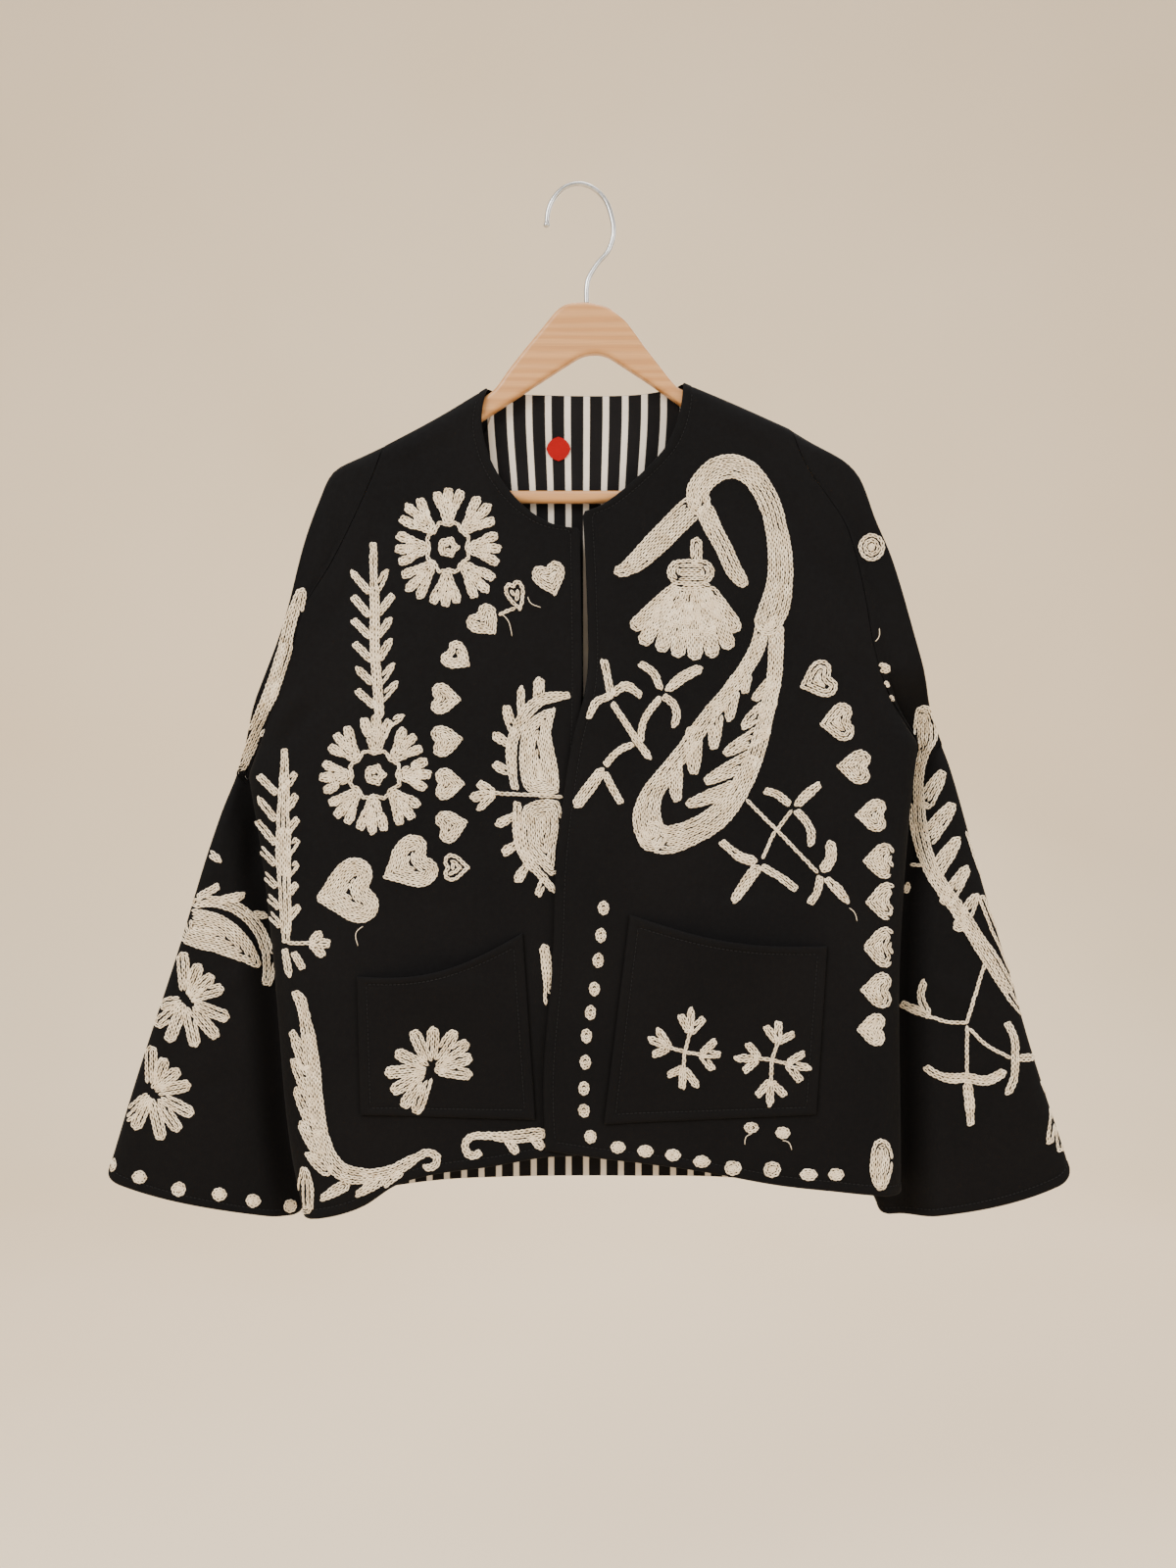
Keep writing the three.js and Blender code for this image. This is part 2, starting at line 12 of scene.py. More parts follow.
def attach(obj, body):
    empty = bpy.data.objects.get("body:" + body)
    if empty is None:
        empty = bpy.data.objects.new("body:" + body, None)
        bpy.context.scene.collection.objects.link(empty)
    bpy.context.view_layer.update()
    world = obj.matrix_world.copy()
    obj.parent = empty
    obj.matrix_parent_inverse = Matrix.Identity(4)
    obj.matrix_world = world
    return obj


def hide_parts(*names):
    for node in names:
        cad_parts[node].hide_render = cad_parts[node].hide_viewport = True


MM = 0.001
VIEWPOINT = (6.1, -1220, -465.1)  # the camera
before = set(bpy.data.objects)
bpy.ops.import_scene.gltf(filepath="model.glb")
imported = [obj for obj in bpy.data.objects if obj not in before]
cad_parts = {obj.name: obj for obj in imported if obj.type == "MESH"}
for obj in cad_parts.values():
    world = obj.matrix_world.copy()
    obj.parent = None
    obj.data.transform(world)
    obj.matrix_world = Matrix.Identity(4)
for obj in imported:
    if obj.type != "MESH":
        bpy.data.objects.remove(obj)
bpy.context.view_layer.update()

# Driving dimensions of the cloth
CLOTH = 1.6  # outer cotton with its lining, as one wall
LINING = 1.0  # the striped cotton inside the back
LINING_CLEAR = 0.5  # between the back and its lining
EDGE = 0.36  # how far a folded edge stays from the middle plane
SEAM = 0.3  # clear space between neighbouring pieces
SEAM_SIDE = 0.25  # clear space beside an armhole seam
SEAM_LAP = 1.6  # how far the sleeve's edge laps the back panel's edge
DOUBLED = 4.5  # between the two layers of a sleeve's back wall under the arm
UNDERARM_FACING = 100  # under the arm, a sleeve's inner side is black this far from its inner fold
FACING_END = 280  # down a sleeve, where that black ends
FACING_FADE = 60  # and the length over which it narrows
UNDERARM_SIDE = 2.2  # clear space beside the underarm, where the sleeve turns behind the back
LAP = CLOTH + SEAM  # from the back panel to the sleeve that laps it
RIDGE_ROUND = 9.6  # the cloth's turn over the hanger's arms
SIDE_ROUND = 14  # the turn at the side seams
TURN_ZONE = 60  # height over which the side's turn grows, above the underarm
SLEEVE_BEHIND = 3.5  # from the back panel to the sleeve that hangs behind it
SLEEVE_DEPTH = 12  # between the two walls of a sleeve
SLEEVE_FRONT = 3  # the front wall of a sleeve clear of the body
SLEEVE_COMES_FORWARD = (2, 30)  # it gets there between these distances outside the side seam
SLEEVE_DRIFT = 200  # length over which the front wall drifts from the armhole to the outer fold
SLEEVE_FALL = 130  # height over which the back wall falls away from the back panel
SLEEVE_LEAVES = 6  # how fast the rings leave the panels' depths beyond the armhole
NECK_COVER = 100  # more than a hem's width: the back has no hem along its shoulders
FRONT_LAP = 3.4  # the upper front panel stands this far off the lower one
POCKET_CLEAR = 0.75  # between a pocket and its front, beside the stitching
POCKET_BULGE = 9  # how far a pocket's mouth stands open
RIM_ROUND = 0.8  # the rounding of a cloth's edge
HEM_WIDTH = 7.5  # from an edge to its topstitch
HEM_RISE = 0.3  # a hem stands this much prouder than the cloth beside it

# How far the body's two sides stand from the middle plane: height, front, back
BODY_DEPTH = np.array([
    (-150, 9.6, 9.6),
    (-260, 10, 9.8),
    (-460, 15, 11),
    (-640, 21, 13),
    (-810, 26, 15),
])

# Soft upright folds: x, upper end, lower end, half width, depth outwards
FRONT_FOLDS = [
    (-182, -480, -860, 46, 2.6),
    (-96, -330, -620, 50, -1.8),
    (118, -280, -560, 55, -2),
    (224, -560, -860, 34, 2.4),
]
BACK_FOLDS = [
    (-120, -260, -860, 60, 3),
    (-10, -240, -700, 70, -2),
    (105, -330, -860, 60, 3),
]

# Creases: start, middle and end, each as x and height, then half width and depth outwards
CREASES = {
    "front_right": [
        (-96, -186, -118, -200, -150, -214, 9, 0.9),
        (-150, -250, -166, -300, -196, -352, 12, -1.1),
        (-212, -388, -226, -412, -246, -428, 9, 0.9),
        (-196, -396, -216, -420, -240, -446, 10, -1.1),
        (-60, -300, -72, -380, -66, -470, 16, 0.8),
        (-204, -520, -196, -610, -200, -700, 12, -0.9),
        (-120, -640, -128, -700, -120, -745, 14, 0.7),
    ],
    "front_left": [
        (104, -176, 128, -190, 158, -204, 9, 0.9),
        (150, -232, 172, -282, 206, -330, 12, -1.1),
        (205, -332, 208, -352, 212, -372, 8, 1.1),
        (191, -566, 198, -604, 208, -638, 11, 0.9),
        (50, -430, 62, -520, 52, -600, 18, 0.8),
        (220, -470, 236, -500, 250, -516, 9, -0.9),
        (226, -640, 222, -700, 216, -760, 10, -0.8),
        (100, -650, 104, -700, 96, -752, 14, 0.6),
    ],
    "back": [
        (-150, -232, -120, -262, -70, -286, 14, 1),
        (152, -226, 120, -256, 66, -280, 14, 1),
        (-228, -440, -190, -470, -140, -486, 12, -1.1),
        (236, -430, 196, -462, 150, -482, 12, -1.1),
        (-20, -330, -34, -450, -24, -560, 18, 0.9),
        (-180, -560, -172, -650, -184, -760, 13, -0.9),
        (176, -520, 186, -620, 178, -740, 13, 0.9),
        (60, -600, 52, -680, 64, -760, 15, -0.8),
        (-90, -640, -98, -700, -88, -764, 14, 0.8),
    ],
    "sleeve_right_front": [
        (-189, -244, -196, -264, -201, -300, 9, 1.4),
        (-201, -300, -203, -330, -216, -360, 9, -1),
        (-216, -340, -222, -372, -236, -400, 8, 1.1),
        (-240, -440, -256, -500, -262, -560, 11, -1.2),
        (-276, -470, -290, -540, -306, -610, 10, 0.9),
        (-252, -600, -276, -630, -310, -640, 10, 1.1),
        (-262, -690, -286, -706, -316, -700, 9, -0.9),
    ],
    "sleeve_right_back": [
        (-176, -250, -206, -330, -240, -400, 13, 1.2),
        (-236, -410, -216, -470, -196, -540, 12, -1.2),
        (-276, -480, -266, -560, -290, -640, 12, 1.2),
        (-226, -580, -250, -640, -262, -710, 12, -1),
        (-300, -640, -320, -690, -336, -740, 10, 0.9),
        (-204, -660, -214, -710, -230, -760, 11, 1),
    ],
    "sleeve_left_front": [
        (164, -203, 172, -226, 186, -239, 8, 1.2),
        (205, -254, 216, -272, 228, -300, 9, -1),
        (228, -330, 240, -362, 246, -400, 9, 1.2),
        (256, -440, 268, -500, 262, -560, 10, -1.1),
        (282, -470, 304, -540, 312, -610, 10, 0.9),
        (268, -610, 296, -634, 326, -640, 10, 1.1),
        (276, -690, 306, -704, 338, -700, 9, -0.9),
    ],
    "sleeve_left_back": [
        (186, -240, 214, -320, 244, -396, 13, 1.2),
        (246, -396, 226, -450, 206, -520, 12, -1.2),
        (284, -470, 276, -550, 300, -630, 12, 1.2),
        (232, -570, 258, -630, 268, -700, 12, -1),
        (316, -640, 334, -690, 350, -736, 10, 0.9),
        (216, -650, 224, -700, 242, -750, 11, 1),
    ],
}

# Edges of each side, distance from the middle plane x = 0 and height
RIGHT = {
    "name": "right",
    "sign": -1,
    "neck": [(72, -158), (76, -185), (68, -217), (46, -248), (22, -264), (0, -268)],
    "centre": [(0, -268), (-1.5, -385), (0, -465), (1, -560), (3, -749)],
    "ridge": [(72, -158), (110, -181), (151, -203)],
    "armhole": [
        (151, -203), (163, -234), (191, -293), (213, -330), (223, -364), (234, -400), (257, -458),
    ],
    "side": [(257, -458), (247, -518), (238, -595), (233, -654), (228, -713), (222, -757), (213, -798)],
    "hem": [
        (3, -749), (27, -750), (68, -757), (112, -763), (140, -771), (164, -786), (184, -793), (213, -798),
    ],
    "sleeve_outer": [
        (151, -203), (168, -211), (192, -224), (200, -242), (212, -277), (228, -342),
        (249, -400), (269, -456), (290, -516), (315, -598), (346, -693), (369, -769),
    ],
    "sleeve_inner": [(257, -458), (215, -505), (178, -575), (168, -640), (185, -720), (222, -802)],
    "cuff_sag": 10,
}
LEFT = {
    "name": "left",
    "sign": 1,
    "neck": [(80, -154), (77, -177), (67, -203), (42, -230), (16, -250), (2, -255)],
    "centre": [
        (2, -255), (5, -316), (5, -385), (-7, -438), (-18, -524), (-21, -600), (-28, -692), (-26, -744),
    ],
    "ridge": [(80, -154), (120, -171), (162, -190)],
    "armhole": [
        (162, -190), (175, -220), (191, -243), (204, -263), (213, -290), (220, -322),
        (226, -358), (238, -397), (262, -434),
    ],
    "side": [(262, -434), (255, -493), (250, -557), (247, -620), (248, -743), (248, -780)],
    "hem": [
        (-26, -744), (1, -748), (36, -753), (89, -760), (150, -771), (196, -776), (248, -780),
    ],
    "sleeve_outer": [
        (162, -190), (185, -204), (207, -217), (216, -228), (228, -262), (240, -291), (261, -365),
        (271, -402), (289, -453), (316, -549), (336, -615), (352, -671), (383, -767),
    ],
    "sleeve_inner": [(262, -434), (222, -480), (190, -550), (180, -625), (200, -715), (238, -802)],
    "cuff_sag": 14,
}
BACK_NECK = [(-72, -158), (-40, -160), (44, -160), (80, -154)]
BACK_HEM = [(-213, -798), (-170, -786), (-117, -778), (-56, -774), (83, -774), (150, -777), (248, -780)]

# Pocket corners, x and height: upper inner, upper outer, lower inner, lower outer; the mouth dips
POCKETS = {
    "right": {"corners": [(-44, -579), (-170, -612), (-34, -721), (-167, -717)], "dip": 12},
    "left": {"corners": [(38, -565), (189, -589), (18, -724), (180, -717)], "dip": 8},
}

PANEL_LENGTH = 620
FRONT_WIDTH = 220
BACK_WIDTH = 480
NECK_SHARE = 0.22  # of a panel's height: the neck ends and the front edge starts
ARMHOLE_SHARE = 0.44  # the armhole ends and the side seam starts
NECK_COLUMNS = (0.31, 0.69)  # the back neck lies between these shares of the back's width
NECK_TURN = 0.018  # share of the back over which its neck leaves the ridge

# Distances of the cloth's rows from its edges: where it turns, and where it is hemmed
TURNED = (0, 0.15, 0.45, 0.8, 1.5, 2.6, 4.2, 6.4, RIDGE_ROUND)
SIDE_TURNED = (0, 0.15, 0.45, 0.8, 1.6, 3, 5, 8, SIDE_ROUND)
HEMMED = (0, 0.15, 0.45, 0.8, 3, 5.6, 6.8, HEM_WIDTH, 8.2, 10)
SLEEVE_TURNED = (0, 0.4, 0.8, 2.5, 5, 9, 14, 20)
ROW_STEP = 5
COLUMN_STEP = 3.4


def mix(a, b, share):
    return a + (b - a) * share


def smooth(start, end, value):
    """From 0 at one value to 1 at another, which may be the smaller one."""
    t = np.clip((value - start) / (end - start), 0, 1)
    return t * t * (3 - 2 * t)


def turn(distance, radius):
    """Share of the full depth at a distance from a folded edge: a quarter round."""
    t = np.clip(distance / radius, 0, 1)
    return np.sqrt(1 - (1 - t) ** 2)


def unit(vectors):
    return vectors / np.linalg.norm(vectors, axis=-1, keepdims=True)


def quarter_turned(vectors):
    """Flat vectors turned by a quarter, anticlockwise."""
    return np.stack([-vectors[:, 1], vectors[:, 0]], axis=1)


def direction(degrees):
    return math.cos(math.radians(degrees)), math.sin(math.radians(degrees))


def along(points):
    """Length of a run of points up to each of them."""
    steps = np.linalg.norm(np.diff(points, axis=0), axis=1)
    return np.concatenate([[0], np.cumsum(steps)])


def sampled(points, distances):
    """Points of a run at distances along it."""
    lengths = along(points)
    return np.stack([np.interp(distances, lengths, column) for column in points.T], axis=-1)


EDGE_STEPS = 24  # between two rows of an edge's table


def curve(rows):
    """Points of a smooth curve through rows, as a centripetal Catmull-Rom spline."""
    knots = np.array(rows, float)
    run = [2 * knots[0] - knots[1], *knots, 2 * knots[-1] - knots[-2]]
    t = np.linspace(0, 1, EDGE_STEPS, endpoint=False)[:, None]
    parts = []
    for a, b, c, d in zip(run, run[1:], run[2:], run[3:]):
        first, middle, last = (math.sqrt(math.dist(p, q)) for p, q in ((a, b), (b, c), (c, d)))
        start = ((b - a) / first - (c - a) / (first + middle) + (c - b) / middle) * middle
        end = ((c - b) / middle - (d - b) / (middle + last) + (d - c) / last) * middle
        cubic = (3 * (c - b) - 2 * start - end) * t**2 + (2 * (b - c) + start + end) * t**3
        parts.append(b + start * t + cubic)
    return np.concatenate([*parts, knots[-1:]])


def edge(rows, sign=1):
    """A smooth edge through rows of x and height, as a function of the share of its length."""
    points = curve(rows) * (sign, 1)
    whole = along(points)[-1]
    return lambda share: sampled(points, np.asarray(share) * whole)


def at_height(table, z, column=1):
    """The values of a table's column at a height; its rows go downwards."""
    return np.interp(-np.asarray(z), -table[:, 0], table[:, column])


def outline(rows):
    """The smooth outline as a table of height and distance."""
    return edge(rows)(np.linspace(0, 1, 81))[:, ::-1]


def folds(table, x, z):
    total = np.zeros(np.shape(x))
    for centre, top, bottom, half, depth in table:
        across = np.maximum(0, 1 - ((x - centre) / half) ** 2) ** 2
        height = top - bottom
        ends = smooth(0, 0.35, (top - z) / height) * smooth(0, 0.05, (z - bottom) / height)
        total += depth * across * ends
    return total


def creases(name, x, z):
    """Depth of a piece's listed creases, soft across and fading towards both ends."""
    total = np.zeros(np.shape(x))
    steps = np.linspace(0, 1, 25)
    for x0, z0, x1, z1, x2, z2, half, depth in CREASES.get(name, ()):
        route = [(1 - t) ** 2 * np.array((x0, z0)) + 2 * t * (1 - t) * np.array((x1, z1))
                 + t**2 * np.array((x2, z2)) for t in steps]
        distances = np.stack([np.hypot(x - px, z - pz) for px, pz in route])
        nearest = distances.min(axis=0)
        share = steps[distances.argmin(axis=0)]
        ends = smooth(0, 0.3, share) * smooth(1, 0.7, share) + 0.15
        total += depth * ends * np.maximum(0, 1 - (nearest / half) ** 2) ** 2
    return total


def front_depth(x, z):
    return at_height(BODY_DEPTH, z, 1) + folds(FRONT_FOLDS, x, z)


def back_depth(x, z):
    return at_height(BODY_DEPTH, z, 2) + folds(BACK_FOLDS, x, z)


def side_depth(side, x, z):
    lap = FRONT_LAP * smooth(-365, -405, z) * smooth(45, 12, x)
    return front_depth(x, z) + (lap if side["sign"] > 0 else 0)


def spread(length, step, first, last):
    """Distances along a length: the given ones near its two ends and even steps between."""
    count = max(2, round((length - first[-1] - last[-1]) / step))
    even = np.linspace(first[-1], length - last[-1], count + 1)[1:-1]
    return np.concatenate([first, even, length - np.array(last)[::-1]])


def patch(top, bottom, inner, outer, u, v):
    """Points between four edges, for nets of shares u across and v down."""
    ends = top(np.array([0, 1])), bottom(np.array([0, 1]))
    a, b, c, d = ends[0][0], ends[0][1], ends[1][0], ends[1][1]
    across, down = u[..., None], v[..., None]
    sides = inner(v) * (1 - across) + outer(v) * across
    levels = top(u) * (1 - down) + bottom(u) * down
    corners = (a * (1 - across) + b * across) * (1 - down) + (c * (1 - across) + d * across) * down
    return sides + levels - corners


def joined(first, second, share):
    """Two edges end to end, meeting at a share of the whole."""

    def at(v):
        upper = first(np.clip(v / share, 0, 1))
        lower = second(np.clip((v - share) / (1 - share), 0, 1))
        return np.where((v <= share)[..., None], upper, lower)

    return at


# A piece's net: its middle points, how far each lies from the nearest free edge and from a hem
class Net:
    def __init__(self, points, rim, hem, closed=False, sign=1):
        self.points = points
        self.rim = rim
        self.hem = hem
        self.closed = closed
        self.sign = sign

    def normals(self):
        """Unit normals; the sign turns them outwards."""
        points = self.points
        down = np.gradient(points, axis=0)
        if self.closed:
            across = np.roll(points, -1, axis=1) - np.roll(points, 1, axis=1)
        else:
            across = np.gradient(points, axis=1)
        return self.sign * unit(np.cross(across, down))

    def moved(self, distance):
        return self.points + self.normals() * np.broadcast_to(distance, self.points.shape[:2])[..., None]

    def grid(self):
        """Indices of the points; a closed net's first column comes again at its end."""
        rows, columns = self.points.shape[:2]
        index = np.arange(rows * columns).reshape(rows, columns)
        return np.concatenate([index, index[:, :1]], axis=1) if self.closed else index

    def size(self):
        """Longest way across, longest way down and area of the cloth, in metres."""
        points = self.points
        if self.closed:
            points = np.concatenate([points, points[:, :1]], axis=1)
        across = np.linalg.norm(np.diff(points, axis=1), axis=2)
        down = np.linalg.norm(np.diff(points, axis=0), axis=2)
        sides = np.cross(np.diff(points, axis=1)[:-1], np.diff(points, axis=0)[:, :-1])
        area = np.linalg.norm(sides, axis=-1).sum()
        return across.sum(axis=1).max() * MM, down.sum(axis=0).max() * MM, area * MM * MM


def share_grid(rows, row_columns):
    """Nets of shares u and v from the rows' shares and each row's columns."""
    u = np.array(row_columns)
    v = np.broadcast_to(np.array(rows)[:, None], u.shape)
    return u, v


def front_net(side):
    sign = side["sign"]
    inner = joined(edge(side["neck"], sign), edge(side["centre"], sign), NECK_SHARE)
    outer = joined(edge(side["armhole"], sign), edge(side["side"], sign), ARMHOLE_SHARE)
    rows = spread(PANEL_LENGTH, ROW_STEP, TURNED, HEMMED)
    shares = rows / PANEL_LENGTH
    widths = np.linalg.norm(inner(shares) - outer(shares), axis=1)
    even = spread(FRONT_WIDTH, COLUMN_STEP, HEMMED, SIDE_TURNED)
    count = len(even) - len(HEMMED) - len(SIDE_TURNED)
    from_edge = []
    for width in widths:
        between = np.linspace(HEMMED[-1], width - SIDE_TURNED[-1], count + 2)[1:-1]
        from_edge.append(np.concatenate([HEMMED, between, width - np.array(SIDE_TURNED)[::-1]]))
    from_edge = np.array(from_edge)
    u, v = share_grid(shares, from_edge / widths[:, None])
    flat = patch(edge(side["ridge"], sign), edge(side["hem"], sign), inner, outer, u, v)
    x, z = flat[..., 0], flat[..., 1]
    underarm = side["armhole"][-1][1]
    side_turn = smooth(underarm + TURN_ZONE, underarm, z)
    shape = mix(1, turn((1 - u) * FRONT_WIDTH, SIDE_ROUND), side_turn) * turn(v * PANEL_LENGTH, RIDGE_ROUND)
    y = -mix(EDGE, side_depth(side, x, z), shape)
    hem = np.minimum(from_edge, (1 - v) * PANEL_LENGTH)
    rim = np.minimum.reduce([hem, widths[:, None] - from_edge, v * PANEL_LENGTH])
    net = Net(np.stack([x, y, z], axis=-1), rim, hem, sign=-sign)
    net.points = net.moved(creases("front_" + side["name"], x, z) * smooth(0, 12, rim))
    return net


def back_top(u):
    """The back's upper edge: shoulder, neck and shoulder, from the wearer's right side."""
    first, last = NECK_COLUMNS
    shoulder_right = edge(RIGHT["ridge"], -1)(np.clip(1 - u / first, 0, 1))
    neck = edge(BACK_NECK)(np.clip((u - first) / (last - first), 0, 1))
    shoulder_left = edge(LEFT["ridge"])(np.clip((u - last) / (1 - last), 0, 1))
    upper = np.where((u < first)[..., None], shoulder_right, neck)
    return np.where((u > last)[..., None], shoulder_left, upper)


def back_net(row_step=ROW_STEP, parts=(26, 44)):
    """The back panel; parts are the columns in a shoulder and in the neck."""
    inner = joined(edge(RIGHT["armhole"], -1), edge(RIGHT["side"], -1), ARMHOLE_SHARE)
    outer = joined(edge(LEFT["armhole"]), edge(LEFT["side"]), ARMHOLE_SHARE)
    rows = spread(PANEL_LENGTH, row_step, TURNED, HEMMED)
    shares = rows / PANEL_LENGTH
    widths = np.linalg.norm(inner(shares) - outer(shares), axis=1)
    first, last = NECK_COLUMNS
    turn_steps = np.linspace(0, NECK_TURN, 6)
    columns = []
    for width in widths:
        side = np.array(SIDE_TURNED) / width
        columns.append(np.concatenate([
            side, np.linspace(side[-1], first, parts[0])[1:-1], first + turn_steps,
            np.linspace(first + NECK_TURN, last - NECK_TURN, parts[1])[1:-1], last - turn_steps[::-1],
            np.linspace(last, 1 - side[-1], parts[0])[1:-1], 1 - side[::-1],
        ]))
    u, v = share_grid(shares, columns)
    flat = patch(back_top, edge(BACK_HEM), inner, outer, u, v)
    x, z = flat[..., 0], flat[..., 1]
    underarm = np.where(x < 0, RIGHT["armhole"][-1][1], LEFT["armhole"][-1][1])
    side_turn = smooth(underarm + TURN_ZONE, underarm, z)
    on_shoulder = smooth(NECK_TURN, 0, np.minimum(u - first, last - u))
    over_ridge = mix(1, turn(v * PANEL_LENGTH, RIDGE_ROUND), on_shoulder)
    to_side = np.minimum(u, 1 - u)
    shape = mix(1, turn(to_side * BACK_WIDTH, SIDE_ROUND), side_turn) * over_ridge
    y = mix(EDGE, back_depth(x, z), shape)
    from_neck = v * PANEL_LENGTH + NECK_COVER * on_shoulder
    hem = np.minimum(from_neck, (1 - v) * PANEL_LENGTH)
    rim = np.minimum.reduce([to_side * widths[:, None], v * PANEL_LENGTH, (1 - v) * PANEL_LENGTH])
    net = Net(np.stack([x, y, z], axis=-1), rim, hem)
    net.points = net.moved(creases("back", x, z) * smooth(0, 12, rim))
    return net


LINING_SHOULDER = 26  # the lining starts this far below the shoulder's ridge


def lining_net():
    """The lining follows the back, moved inwards; its upper edge starts below the shoulder's turn."""
    back = back_net(row_step=8, parts=(18, 30))
    inside = back.moved(-(CLOTH / 2 + LINING_CLEAR + LINING / 2))
    trim = SIDE_TURNED.index(5)
    inside = inside[:, trim:-trim]
    down = spread(PANEL_LENGTH, 8, TURNED, HEMMED)
    low = int(np.searchsorted(down, 2.5 * LINING_SHOULDER))
    start = int(np.searchsorted(down, LINING_SHOULDER))
    x = inside[0, :, 0]
    in_neck = smooth(0, 9, np.minimum(x - BACK_NECK[0][0], BACK_NECK[-1][0] - x))
    top = mix(inside[start], inside[0] - (0, 0, 0.6), in_neck[:, None])
    top[:, 1] = inside[start, :, 1]
    shares = np.concatenate([[0, 0.01, 0.03], np.linspace(0.06, 1, 12)])
    upper = [mix(top, inside[low], share) for share in shares[:-1]]
    points = np.concatenate([np.array(upper), inside[low:-1]])
    points[-1, :, 2] = inside[-1, :, 2] + CLOTH
    from_top = along(points[:, points.shape[1] // 2])
    from_side = along(points[-1])
    rim = np.minimum(from_top, from_top[-1] - from_top)[:, None]
    rim = np.minimum(rim, np.minimum(from_side, from_side[-1] - from_side)[None, :])
    return Net(points, rim, np.full(rim.shape, 100.0))


RING_STEP = 6  # between the rings of a sleeve
RING_MIDDLE = 34  # even steps between the folds on one side of a ring
RING_UPPER = (0, 0.4, 1.3, 2.7, 4.5, 6.8, RIDGE_ROUND)
RING_LOWER = (SLEEVE_DEPTH / 2, 4.4, 3, 1.9, 1, 0.4, 0)
SLEEVE_LENGTH = 610


